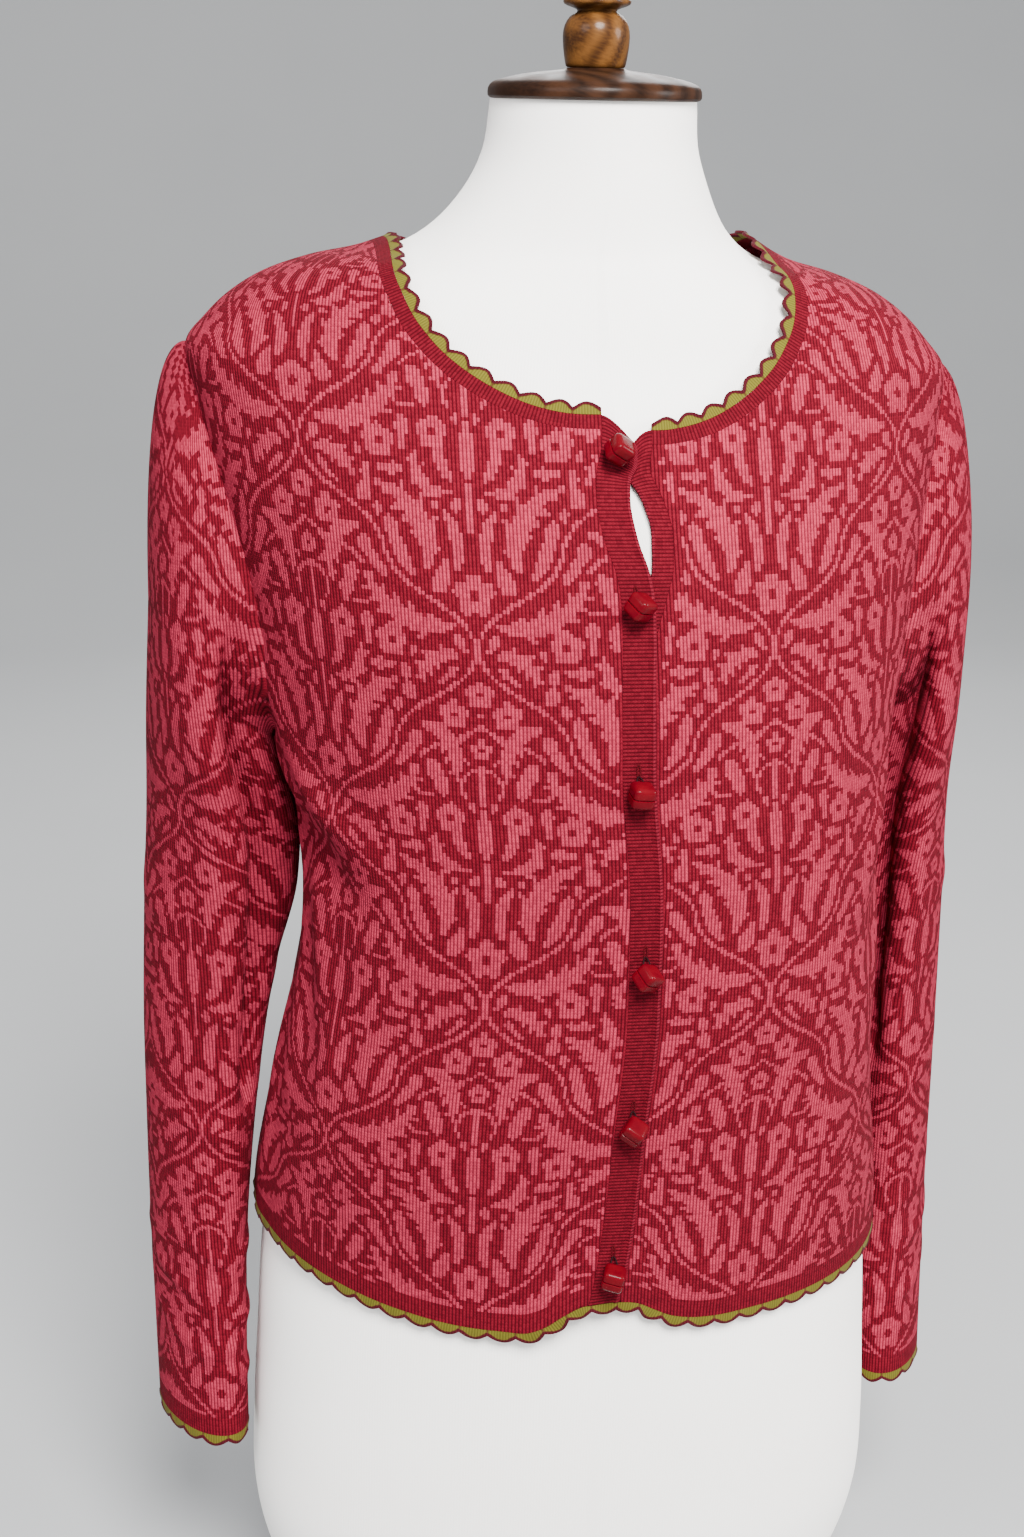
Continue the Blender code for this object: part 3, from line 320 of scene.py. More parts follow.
# %% The trunk
class Trunk:
    """Horizontal sections joined smoothly; rows count length along the side outline."""

    QUARTER = np.linspace(0, np.pi / 2, 49)

    def __init__(self, sections):
        sections = np.asarray(sections, float)
        self.row = running(sections[:, [1, 0]])
        self.table = np.column_stack([self.row, sections])

    def row_at(self, z):
        return np.interp(z, self.table[:, 1], self.row)

    def section(self, row):
        return smooth_rows(self.table, row)

    def quarter(self, half, depth, square):
        """Points and running length of a quarter section, from the y axis to the side."""
        angle = self.QUARTER
        half, depth, square = (np.asarray(v)[..., None] for v in (half, depth, square))
        reach = ((np.cos(angle) / depth)**square + (np.sin(angle) / half)**square)**(-1 / square)
        x, y = reach * np.sin(angle), reach * np.cos(angle)
        steps = np.hypot(np.diff(x), np.diff(y))
        return x, y, np.concatenate([np.zeros_like(steps[..., :1]), np.cumsum(steps, -1)], -1)

    def quarter_length(self, row, back=False):
        _, half, middle, front, rear, square, rear_square = self.section(row)
        depth, square = (rear - middle, rear_square) if back else (front + middle, square)
        return self.quarter(half, depth, square)[2][..., -1]

    def point(self, row, turn):
        row, turn = np.broadcast_arrays(np.asarray(row, float), np.asarray(turn, float))
        shape = row.shape
        row, turn = row.ravel(), turn.ravel()
        z, half, middle, front, rear, square, rear_square = self.section(row)
        lap = lap_of(turn)
        behind = np.abs(lap) > 1
        depth = np.where(behind, rear - middle, front + middle)
        x, y, length = self.quarter(half, depth, np.where(behind, rear_square, square))
        share = np.where(behind, 2 - np.abs(lap), np.abs(lap)) * length[:, -1]
        index = np.clip((length <= share[:, None]).sum(1) - 1, 0, length.shape[1] - 2)
        pick = np.arange(len(row))
        t = (share - length[pick, index]) / (length[pick, index + 1] - length[pick, index])
        across = x[pick, index] + t * (x[pick, index + 1] - x[pick, index])
        across = across * np.sign(lap)
        depth = y[pick, index] + t * (y[pick, index + 1] - y[pick, index])
        drop = between(LEAN * across, z, *LEAN_SPAN)
        across = across + between(SHIFT, z, *SHIFT_SPAN)
        across = across + between(WAIST_SHIFT, z, *WAIST_SPAN)
        out = np.stack([across, middle + np.where(behind, depth, -depth), z - drop], -1)
        return out.reshape(shape + (3,))

    def normal(self, row, turn, row_step=0.002, turn_step=0.02):
        row, turn = np.asarray(row), np.asarray(turn)
        along = self.point(row + row_step, turn) - self.point(row - row_step, turn)
        round_ = self.point(row, turn + turn_step) - self.point(row, turn - turn_step)
        return unit(np.cross(round_, along))


cloth = Trunk(CLOTH)
form = Trunk(FORM)
chest = [cloth.quarter_length(cloth.row_at(CHEST_Z), back) for back in (False, True)]
print(f"chest {2 * sum(chest):.3f} m round")

# %% [markdown]
# ## Folds and cut lines
# The soft folds are heights added along the surface's normal: each runs from one
# place to another and fades at its ends.  The cut lines (hem, armhole, shoulder,
# neckline, button bands) are drawn on the surface as rows and turns.

# %% Folds
FOLD_QUARTER = 0.21      # rough length of a quarter turn, to measure a fold's width
FOLD_END = 0.25          # how much of a fold's height is left at its ends
# small creases that only the cloth itself shows, in the columns of FOLDS
CREASES = (
    (-0.900, 0.560, -0.800, 0.505, 0.013, 0.0030),
    (-0.880, 0.552, -0.780, 0.520, 0.006, 0.0018),
    (-0.940, 0.535, -0.860, 0.470, 0.006, 0.0020),
    (-0.620, 0.450, -0.700, 0.360, 0.009, 0.0018),
    (-0.520, 0.400, -0.600, 0.300, 0.010, 0.0016),
    (-0.240, 0.640, -0.420, 0.600, 0.012, 0.0014),
    (0.160, 0.300, 0.240, 0.270, 0.010, 0.0018),
    (0.620, 0.450, 0.700, 0.350, 0.009, 0.0018),
    (0.500, 0.400, 0.580, 0.300, 0.010, 0.0014),
    (0.880, 0.550, 0.800, 0.515, 0.006, 0.0018),
    (1.500, 0.560, 1.620, 0.500, 0.012, 0.0018),
    (-1.500, 0.560, -1.640, 0.500, 0.012, 0.0018),
    (1.420, 0.400, 1.500, 0.300, 0.012, 0.0022),
    (-1.380, 0.400, -1.480, 0.300, 0.012, 0.0022),
    (1.960, 0.440, 2.060, 0.420, 0.010, 0.0020),
)


def fold_height(turn, z):
    """Height of the soft folds at a place of the cloth."""
    height = np.zeros(np.broadcast(turn, z).shape)
    for turn_a, z_a, turn_b, z_b, width, rise in FOLDS + CREASES:
        run = np.array([(turn_b - turn_a) * FOLD_QUARTER, z_b - z_a])
        across = (turn - turn_a) * FOLD_QUARTER
        up = z - z_a
        t = np.clip((across * run[0] + up * run[1]) / (run @ run), 0, 1)
        away = np.hypot(across - t * run[0], up - t * run[1])
        fade = FOLD_END + (1 - FOLD_END) * np.sin(np.pi * np.clip(t, 0.04, 0.96))
        height = height + rise * fade * np.exp(-(away / width)**2)
    return height


def worn(row, turn, lift=0.0):
    """The outside of the worn cloth, with its folds."""
    row, turn = np.broadcast_arrays(np.asarray(row, float), np.asarray(turn, float))
    out = cloth.normal(row, turn)
    lap, z = lap_of(turn), cloth.section(row)[0]
    height = fold_height(lap, z) + fold_height(lap - 4 * np.sign(lap), z)
    return cloth.point(row, turn) + out * (height + lift)[..., None], out


# %% Cut lines
HEM_ROW, UNDERARM_ROW, TIP_ROW = (cloth.row_at(z) for z in (HEM_Z, UNDERARM_Z, TIP_Z))
NECK_FRONT_ROW = cloth.row_at(NECK_FRONT_Z)
QUARTER, SHOULDER_QUARTER = 0.225, 0.15      # usual lengths of a quarter turn
BAND_TURN = 0.04                             # turn at the seams of the button bands, roughly
DIP_PEAK, DIP_ROUND = 0.62, 0.6              # an armhole's curve: how low it is deepest, how full
ROWS = np.linspace(0, cloth.row[-1], 1500)
QUARTERS = {back: cloth.quarter_length(ROWS, back) for back in (False, True)}


def quarter_at(row, back=False):
    return np.interp(row, ROWS, QUARTERS[back])


def placket(row):
    """How far the centre line, the right front's edge and the left's lie from the middle."""
    drift, right_push, left_push = smooth_rows(PLACKET, cloth.section(row)[0])
    return drift, drift + right_push, drift + left_push


def front_edge(side, row):
    """Turn of the seam between a front and its button band."""
    _, right_edge, left_edge = placket(row)
    return (right_edge - BAND_HALF if side < 0 else left_edge + LEFT_BAND[1]) / quarter_at(row)


def hem_rise(turn, side):
    """How far the hem rises at a turn of the right or the left half."""
    right_rise, left_rise = smooth_rows(HEM_RISE, np.abs(turn))
    return right_rise if side < 0 else left_rise


def back_rise(turn):
    """The same across the back, at turns of 1 to 3."""
    round_ = np.minimum(turn, 4 - turn)
    share = ease((turn - 1) / 2)
    return hem_rise(round_, 1) * (1 - share) + hem_rise(round_, -1) * share


def neck_row(turn):
    """Row of the neckline at a turn."""
    lap = lap_of(np.asarray(turn, float))
    right, left = smooth_rows(NECKLINE, np.abs(lap))
    return NECK_FRONT_ROW + np.where(lap < 0, right, left)


# %% Cut lines of one panel
def armhole_line(side, behind, count):
    """The armhole's cut line on a front or the back, evenly spaced, underarm first."""
    t = np.linspace(0, 1, 161)
    dip = BACK_ARMHOLE_DIP if behind else -FRONT_ARMHOLE_DIP
    row = UNDERARM_ROW + (TIP_ROW - UNDERARM_ROW) * t     # the dip is deepest below its middle
    turn = side * (1 + dip * np.sin(np.pi * t**DIP_PEAK)**DIP_ROUND)
    return evenly(np.column_stack([row, turn * QUARTER]), count) / (1, QUARTER)


def seam_turn(side, behind, length=QUARTER):
    """Turn of the side and shoulder seam's edge on a front or on the back."""
    gap = SEAM / 2 / length
    return side * (1 + gap if behind else 1 - gap)


def neck_start(side):
    """Turn where a front's neckline meets its button band."""
    return front_edge(side, neck_row(side * BAND_TURN))


def from_band(side, row, turn):
    """Distance from the seam between a front and its button band."""
    return np.abs(turn - front_edge(side, row)) * quarter_at(row)


def lift_of(side, row, turn):
    """How far the right front rises where it laps over the left."""
    lift = LAYER * (1 - ease(from_band(side, row, turn) / LAP_FADE))
    return lift if side < 0 else np.zeros_like(row)


def line(rows, turns):
    return np.column_stack(np.broadcast_arrays(rows, turns))


def side_line(side, behind):
    """Side seam, armhole and shoulder seam of one panel, hem first."""
    turn = seam_turn(side, behind)
    seam = line(np.linspace(HEM_ROW + hem_rise(1.0, side), UNDERARM_ROW, 200), turn)
    arm = armhole_line(side, behind, 240)
    shoulder = line(np.linspace(TIP_ROW, neck_row(side), 100), seam_turn(side, behind, SHOULDER_QUARTER))
    arm[[0, -1], 1] = turn
    return [seam, arm, shoulder]


print(f"hem at row {HEM_ROW:.3f}, underarm {UNDERARM_ROW:.3f}, shoulder tip {TIP_ROW:.3f} m")

# %% [markdown]
# ## The damask
# The leaves and flowers are drawn once, on one repeat, as a map of how far each place
# lies from the drawn shapes; a place is rose where that is below 0.  Curved strokes
# swell to stems and toothed leaves, mirrored on the stem line and dropped by half a
# repeat in the next column, as damasks traditionally are.  The largest gaps are then
# filled with small leaves and blossoms, so no bare ground is left over.

# %% The drawing, in millimetres; x counts from the mirror line, y upward
REPEAT = (168.0, 180.0)               # one repeat; the next column is dropped by half
GRID = 1.0                            # spacing of the places where the drawing is measured
# start, two pulls and end of each curve, half its width, where it is widest, teeth
STROKES = (
    ((0, 0), (4, 23), (38, 23), (42, 45), 1.1, 0.5, 0),
    ((42, 45), (46, 67), (80, 67), (84, 90), 1.1, 0.5, 0),
    ((9, 12), (23, 7), (46, 12), (54, 35), 6.4, 0.46, 4),
    ((24, 35), (14, 46), (25, 71), (47, 74), 6.6, 0.46, 4),
    ((54, 53), (67, 53), (76, 41), (71, 24), 5.6, 0.42, 3),
    ((8, 35), (4, 46), (7, 56), (13, 64), 3.2, 0.42, 0),
    ((9, -3), (16, -1), (27, -6), (30, -17), 4.5, 0.40, 3),
    ((0, 54), (0, 61), (0, 68), (0, 75), 1.0, 0.5, 0),
    ((0, 77), (0, 85), (0, 94), (0, 104), 3.8, 0.42, 0),
    ((6, 76), (13, 79), (16, 88), (9, 103), 2.8, 0.50, 0),
    ((5, 72), (17, 68), (29, 74), (24, 91), 4.0, 0.55, 3),
    ((0, 104), (0, 111), (0, 116), (0, 123), 1.0, 0.5, 0),
    ((0, 123), (8, 122), (12, 115), (8, 108), 1.0, 0.5, 0),
    ((54, 37), (62, 46), (72, 44), (84, 54), 1.0, 0.5, 0),
    ((24, 108), (33, 106), (38, 113), (34, 122), 1.0, 0.5, 0),
)
BLOSSOMS = ((42, 92, 8.0), (68, 7, 7.8), (13, -31, 7.4))      # x, y and reach
MARGIN, LEAST = 2.4, 4.0              # ground left round a filling leaf; smallest half gap filled
THINNEST, FAR = 0.8, 99.0             # smallest disc of a stroke; farther than any gap
LEAF_SLIM = 0.66                      # a toothed leaf's body, as a part of its width with teeth
TEETH_FROM, TEETH_OVER = 0.16, 0.70   # the stretch of a leaf that has teeth
TOOTH_REACH, TOOTH_TIP = (0.3, 1.55), (0.42, 0.14)      # along a tooth; half width, foot and tip
PETAL_OUT, PETAL, EYE = 0.6, 0.42, 0.24                 # parts of a blossom's reach
TOOTH_ALONG, TOOTH_ASIDE = 0.62, 0.78                   # the way that a tooth points
ROUND_ROOM, LONG = 7.2, 3.6           # a half gap that takes a blossom, unless it is this much longer
FILL_BOW, FILL_WIDTH, FILL_PEAK = 0.14, 0.95, 0.42      # a filling leaf's bend, width and widest place
STALK, STALK_STEP, STALK_HALF, TOUCHES = 9, 0.8, 0.95, 0.4      # a filling leaf's stalk


def curve(start, pull_a, pull_b, end, count=48):
    """Places along a Bezier curve, and how far along each is."""
    t = np.linspace(0, 1, count)[:, None]
    start, pull_a, pull_b, end = (np.array(p, float) for p in (start, pull_a, pull_b, end))
    return ((1 - t)**3 * start + 3 * t * (1 - t)**2 * pull_a + 3 * t * t * (1 - t) * pull_b
            + t**3 * end), t[:, 0]


# %% A drawing as a map of distances
class Drawing:
    """How far each place of the repeat lies from the drawn shapes; below 0 is inside."""

    def __init__(self):
        self.x = np.arange(0, REPEAT[0], GRID)
        self.y = np.arange(0, REPEAT[1], GRID)
        self.away = np.full((len(self.y), len(self.x)), FAR)

    def discs(self, places, reach, clear=False):
        """Draw discs, mirrored and half dropped, or clear them from what is drawn."""
        wide, tall = REPEAT
        for mirror in (1, -1):
            for column in (0, 1):
                for (x, y), r in zip(places, reach):
                    dx = (self.x - mirror * x - column * wide / 2 + wide / 2) % wide - wide / 2
                    dy = (self.y - y - column * tall / 2 + tall / 2) % tall - tall / 2
                    gap = np.hypot(dx[None], dy[:, None]) - r
                    self.away = np.maximum(self.away, -gap) if clear else np.minimum(self.away, gap)

    def leaf(self, places, t, half, peak, teeth, room=FAR):
        """A stroke that swells and ends in points; teeth branch off both sides of a leaf."""
        swell = np.sin(np.pi * t**(np.log(0.5) / np.log(peak)))**0.7 if half > 2 else np.ones_like(t)
        width = np.minimum(half * swell * (LEAF_SLIM if teeth else 1.0), room)
        kept = width > 0.9
        self.discs(places[kept], width[kept])
        along = np.gradient(places, axis=0)
        along /= np.linalg.norm(along, axis=1)[:, None]
        for number in range(2 * teeth):
            k = int((TEETH_FROM + TEETH_OVER * (number + 0.5) / (2 * teeth)) * len(t))
            aside = np.array([-along[k][1], along[k][0]])
            way = along[k] * TOOTH_ALONG + aside * (TOOTH_ASIDE * (-1)**number)
            reach = np.linspace(*TOOTH_REACH, 6) * half * swell[k]
            tip = np.linspace(*TOOTH_TIP, 6) * half * swell[k]
            spots = places[k] + way * reach[:, None]
            self.discs(spots, np.maximum(tip, THINNEST))

    def blossom(self, x, y, reach):
        """Five round petals about an open eye."""
        angle = np.arange(5) * 2 * np.pi / 5 + np.pi / 2
        out = PETAL_OUT * reach
        petals = np.column_stack([x + out * np.cos(angle), y + out * np.sin(angle)])
        self.discs(petals, np.full(5, PETAL * reach))
        self.discs([(x, y)], [EYE * reach], clear=True)

    def at(self, x, y):
        """Read the drawing at any places."""
        column, row = np.asarray(x) / GRID, np.asarray(y) / GRID
        i, j = np.floor(column).astype(int), np.floor(row).astype(int)
        s, t = column - i, row - j
        i, j, i2, j2 = i % len(self.x), j % len(self.y), (i + 1) % len(self.x), (j + 1) % len(self.y)
        return ((self.away[j, i] * (1 - s) + self.away[j, i2] * s) * (1 - t)
                + (self.away[j2, i] * (1 - s) + self.away[j2, i2] * s) * t)


# %% Filling the gaps that are left
def longest_way(drawing, place):
    """The straightest free run through a place: its direction and its two ends."""
    best = (np.array([0.0, 1.0]), 0, 0)
    on_mirror = min(place[0], abs(place[0] - REPEAT[0] / 2)) < 3
    for angle in (np.pi / 2,) if on_mirror else np.arange(16) * np.pi / 16:
        way = np.array([np.cos(angle), np.sin(angle)])
        steps = np.arange(1, 22)
        runs = []
        for sign in (1, -1):
            free = drawing.at(*(place + sign * way * steps[:, None]).T) > MARGIN + 0.8
            runs.append(int(np.argmin(free)) if not free.all() else len(steps))
        if sum(runs) > best[1] + best[2]:
            best = (way, *runs)
    return best


def draw_repeat():
    """The listed strokes, then leaves and blossoms in the largest gaps left."""
    drawing = Drawing()
    for *pulls, half, peak, teeth in STROKES:
        drawing.leaf(*curve(*pulls), half, peak, teeth)
    for x, y, reach in BLOSSOMS:
        drawing.blossom(x, y, reach)
    for number in range(60):
        j, i = np.unravel_index(np.argmax(drawing.away), drawing.away.shape)
        room = drawing.away[j, i]
        if room < LEAST:
            break
        place = np.array([drawing.x[i], drawing.y[j]])
        way, fore, aft = longest_way(drawing, place)
        if room > ROUND_ROOM and fore + aft < LONG * room:
            drawing.blossom(*place, room - MARGIN)
            continue
        bow = np.array([-way[1], way[0]]) * FILL_BOW * (fore + aft) * (-1)**number * (abs(way[0]) > 0.01)
        places, t = curve(place - way * aft, place - way * aft * 0.3 + bow * 0.6,
                          place + way * fore * 0.3 + bow * 0.6, place + way * fore, 36)
        drawing.leaf(places, t, FILL_WIDTH * room, FILL_PEAK, 0, drawing.at(*places.T) - MARGIN)
        stalk = places[0] - way * np.arange(0, STALK, STALK_STEP)[:, None]
        meets = drawing.at(*stalk.T) < TOUCHES
        if meets.any() and meets.argmax():
            drawing.discs(stalk[:meets.argmax() + 1], np.full(meets.argmax() + 1, STALK_HALF))
    return drawing


DRAWING = draw_repeat()
print(f"{100 * (DRAWING.away < 0).mean():.0f}% of the repeat is rose")


# %% Stitches
STITCH = np.array([0.0018, 0.0017])       # width of a wale, height of a course, in metres
BORDER = 0.0110                           # plain courses above the hem
PLAIN_YARN, BOTH_YARNS = 0.0, 0.5         # all ground; and the mixed inside of a jacquard


def damask(across, height, stem=0.0):
    """1 for a rose stitch, at places in metres from the mirror line and above the hem."""
    away = DRAWING.at((np.abs(across) - stem) * 1e3, height * 1e3)
    return ((away < 0) & (height > BORDER)).astype(float)


# %% [markdown]
# ## Materials
# Colours are written as sRGB hex, as a colour picker shows them, and turned to the
# linear values that the shader wants by one function.  One function adds a node, and
# links or sets its inputs.

# %% Colour and node helpers
def shade(hexcode):
    """sRGB hex to linear RGBA."""
    parts = [int(hexcode[i:i + 2], 16) / 255 for i in (1, 3, 5)]
    return tuple(p / 12.92 if p <= 0.04045 else ((p + 0.055) / 1.055)**2.4 for p in parts) + (1.0,)


def feed(tree, node, inputs):
    """Fill a node's inputs: another node, or one of its outputs, is linked; a value is set."""
    for name, value in inputs.items():
        if isinstance(value, bpy.types.Node):
            value = value.outputs[0]
        if isinstance(value, bpy.types.NodeSocket):
            tree.links.new(value, node.inputs[name])
        else:
            node.inputs[name].default_value = value


def add(tree, kind, inputs=None, **settings):
    """Add a shader node with its settings and inputs."""
    made = tree.nodes.new("ShaderNode" + kind)
    for name, value in settings.items():
        setattr(made, name, value)
    feed(tree, made, inputs or {})
    return made


def new_material(name, **sockets):
    """A material and its tree and shader, with the shader's own sockets set."""
    material = bpy.data.materials.new(name)
    material.use_nodes = True
    tree = material.node_tree
    shader = tree.nodes["Principled BSDF"]
    feed(tree, shader, {socket.replace("_", " "): value for socket, value in sockets.items()})
    return material, tree, shader


# %% [markdown]
# ### Fine jacquard knit: dyed cotton yarn, machine knitted
# Each wale is a column of V-shaped stitches: light catches its middle and shade falls
# in the groove between wales, and both are painted into the colour as well as raised
# by the bump.  The stitch map counts in stitches, so one pattern of V's fits every
# piece; the face attribute "motif" says which yarn each stitch is, so outlines are
# stepped as knitting steps them.  Cotton is matt.

# %% Knit
GROUND, ROSE, PLAIN = "#4b0713", "#771d2e", "#430610"


def knit_material(name, ground, rose, groove=0.60):
    material, tree, shader = new_material(name, Roughness=0.88, Specular_IOR_Level=0.04, Sheen_Weight=0.02,
                                          Sheen_Roughness=0.45, Sheen_Tint=shade("#c05060"))
    stitches = add(tree, "UVMap", uv_map="stitches")
    place = add(tree, "SeparateXYZ", {0: stitches})
    part = add(tree, "Math", {0: place}, operation="FRACT")
    half = add(tree, "Math", {0: part, 1: 0.5}, operation="SUBTRACT")
    leg = add(tree, "Math", {0: half, 1: 0.0}, operation="ABSOLUTE")
    tilt = add(tree, "Math", {0: leg, 1: 1.1, 2: place.outputs[1]}, operation="MULTIPLY_ADD")
    turn_up = add(tree, "Math", {0: tilt, 1: 2 * np.pi}, operation="MULTIPLY")
    wave = add(tree, "Math", {0: turn_up}, operation="COSINE")
    courses = add(tree, "MapRange", {0: wave, 1: -1.0, 2: 1.0, 3: 0.62, 4: 1.0})
    turned = add(tree, "Math", {0: part, 1: np.pi}, operation="MULTIPLY")
    swell = add(tree, "Math", {0: turned}, operation="SINE")
    wales = add(tree, "MapRange", {0: swell, 1: 0.10, 2: 0.95, 3: 0.0, 4: 1.0})
    height = add(tree, "Math", {0: courses, 1: wales}, operation="MULTIPLY")
    whole = add(tree, "VectorMath", {0: stitches}, operation="FLOOR")
    each = add(tree, "TexWhiteNoise", {"Vector": whole}, noise_dimensions="2D")
    own = add(tree, "TexCoord").outputs["Object"]
    cloud = add(tree, "TexNoise", {"Vector": own, "Scale": 14.0, "Detail": 3.0})      # dye clouds of 70 mm
    motif = add(tree, "Attribute", attribute_name="motif")
    yarn = add(tree, "Mix", {"Factor": motif.outputs["Fac"], "A": shade(ground), "B": shade(rose)},
               data_type="RGBA")
    # painted highlight on each stitch's middle and painted shade in the grooves between stitches, darker by
    # groove
    painted_shading = add(tree, "MapRange", {0: height, 1: 0.0, 2: 0.8, 3: 1 - groove, 4: 1.60})
    speck = add(tree, "MapRange", {0: each.outputs["Value"], 1: 0.0, 2: 1.0, 3: 0.82, 4: 1.18})
    patch = add(tree, "MapRange", {0: cloud, 1: 0.3, 2: 0.7, 3: 0.95, 4: 1.05})
    level = add(tree, "Math", {0: painted_shading, 1: speck}, operation="MULTIPLY")
    level = add(tree, "Math", {0: level, 1: patch}, operation="MULTIPLY")
    colour = add(tree, "VectorMath", {0: yarn.outputs["Result"], "Scale": level}, operation="SCALE")
    fibre = add(tree, "TexNoise", {"Vector": own, "Scale": 2600.0, "Detail": 2.0})      # fibres of 0.4 mm
    rough = add(tree, "Math", {0: fibre, 1: 0.35, 2: height}, operation="MULTIPLY_ADD")
    bump = add(tree, "Bump", {"Strength": 0.8, "Distance": 0.0004, "Height": rough})
    feed(tree, shader, {"Base Color": colour, "Normal": bump})
    return material


jacquard_knit = knit_material("jacquard_knit_cotton", GROUND, ROSE)
plain_knit = knit_material("plain_knit_cotton", PLAIN, ROSE, groove=0.45)


# %% [markdown]
# ## Knitted panels
# Each panel is a net with one cell for one stitch: columns keep their distance from
# the centre line, as wales do, and rows count courses up from the hem.  Cells on the
# cut edge are drawn onto it.  A coarser net makes the inside face, and a strip of
# triangles closes the edge between them, 1.6 mm thick.

# %% Net of stitches inside an outline
OUTLINE_STEP = 0.00025                    # metres between the places of an outline
INSIDE_COARSE = {"panel": 3, "tube": 4}   # stitches to one cell of the inside face
BATCH = 400                               # edge places that are matched to an outline at a time


def dense_outline(lines):
    """A closed line through all the given ones, in small even steps, and its corners."""
    points = [lines[0][:1]]
    corners = []
    for stretch in lines:
        length = running(stretch)
        count = max(2, int(np.ceil(length[-1] / OUTLINE_STEP)))
        corners.append(sum(len(p) for p in points) - 1)
        points.append(read_line(np.linspace(0, length[-1], count + 1)[1:], length, stretch))
    return np.vstack(points)[:-1], corners


def net(outline, corners, step):
    """Places, cells and edge loop of a net over a closed outline."""
    low = np.floor(outline.min(0) / step).astype(int) - 1
    high = np.ceil(outline.max(0) / step).astype(int) + 1
    across = np.arange(low[0], high[0] + 1) * step[0]
    upward = np.arange(low[1], high[1] + 1) * step[1]
    after = np.roll(outline, -1, 0)
    inside = np.zeros((len(upward), len(across)), bool)
    for j, w in enumerate(upward):
        cross = (outline[:, 1] > w) != (after[:, 1] > w)
        a, b = outline[cross], after[cross]
        at = np.sort(a[:, 0] + (w - a[:, 1]) / (b[:, 1] - a[:, 1]) * (b[:, 0] - a[:, 0]))
        inside[j] = np.searchsorted(at, across) % 2 == 1
    kept = inside[:-1, :-1] | inside[1:, :-1] | inside[:-1, 1:] | inside[1:, 1:]
    number = np.arange(inside.size).reshape(inside.shape)
    cell = np.argwhere(kept)
    j, i = cell.T
    faces = np.stack([number[j, i], number[j, i + 1], number[j + 1, i + 1], number[j + 1, i]], 1)
    places = np.stack(np.meshgrid(across, upward), -1).reshape(-1, 2)
    used = np.unique(faces)
    edge = used[~inside.ravel()[used]]
    nearest = np.empty(len(edge), int)
    for first in range(0, len(edge), BATCH):
        some = places[edge[first:first + BATCH]]
        nearest[first:first + BATCH] = ((some[:, None] - outline[None])**2).sum(-1).argmin(1)
    for corner in corners:
        gap = np.abs(nearest - corner)
        gap = np.minimum(gap, len(outline) - gap)
        nearest[gap == gap.min()] = corner
    places[edge] = outline[nearest]
    name = np.arange(inside.size)
    name[edge] = inside.size + nearest              # edge places that meet become one
    faces = name[faces]
    keys, faces = np.unique(faces, return_inverse=True)
    faces = faces.reshape(-1, 4)
    on_edge = np.where(keys >= inside.size, keys - inside.size, -1)
    spots = np.where((keys >= inside.size)[:, None], outline[np.maximum(on_edge, 0)],
                     places[np.minimum(keys, inside.size - 1)])
    cells = [tuple(dict.fromkeys(f)) for f in faces.tolist()]
    good = [len(c) > 2 for c in cells]
    centre = (np.column_stack([i + low[0], j + low[1]])[good] + 0.5) * step
    cells = [c for c, g in zip(cells, good) if g]
    return spots, cells, centre, edge_loop(cells), on_edge


# %% Edges, rims and grids of faces
def edge_loop(cells):
    """The places on the edge of a set of cells, in order."""
    ways = {(a, b) for cell in cells for a, b in zip(cell, cell[1:] + cell[:1])}
    after = {a: b for a, b in ways if (b, a) not in ways}
    start = next(iter(after))
    loop = [start]
    while after[loop[-1]] != start:
        loop.append(after[loop[-1]])
    if len(loop) != len(after):
        print("edge places left over:", len(after) - len(loop))
    return loop


def quads(index, ring=True):
    """Faces between the rows and columns of a grid of numbered places."""
    a, b = index, np.roll(index, -1, 1)
    if not ring:
        a, b = a[:, :-1], b[:, :-1]
    return np.stack([a[:-1], b[:-1], b[1:], a[1:]], -1).reshape(-1, 4)


def zip_up(outer, outer_at, inner, inner_at, total):
    """Triangles between two loops, matched by their places along the outline."""
    def unrolled(loop, at):
        first = int(np.argmin([at[v] for v in loop]))
        loop = loop[first:] + loop[:first]
        return loop + loop[:1], [at[v] for v in loop] + [at[loop[0]] + total]

    outer, a = unrolled(outer, outer_at)
    inner, b = unrolled(inner, inner_at)
    faces, i, j = [], 0, 0
    while i < len(outer) - 1 or j < len(inner) - 1:
        if j == len(inner) - 1 or (i < len(outer) - 1 and a[i + 1] <= b[j + 1]):
            faces.append((outer[i + 1], outer[i], inner[j]))
            i += 1
        else:
            faces.append((outer[i], inner[j], inner[j + 1]))
            j += 1
    return faces


# %% Making a mesh with a stitch map
def face_outward(mesh):
    """Turn every face outward, and count the open edges."""
    shape = bmesh.new()
    shape.from_mesh(mesh)
    bmesh.ops.recalc_face_normals(shape, faces=shape.faces)
    loose = sum(not e.is_manifold for e in shape.edges)
    shape.to_mesh(mesh)
    shape.free()
    return loose


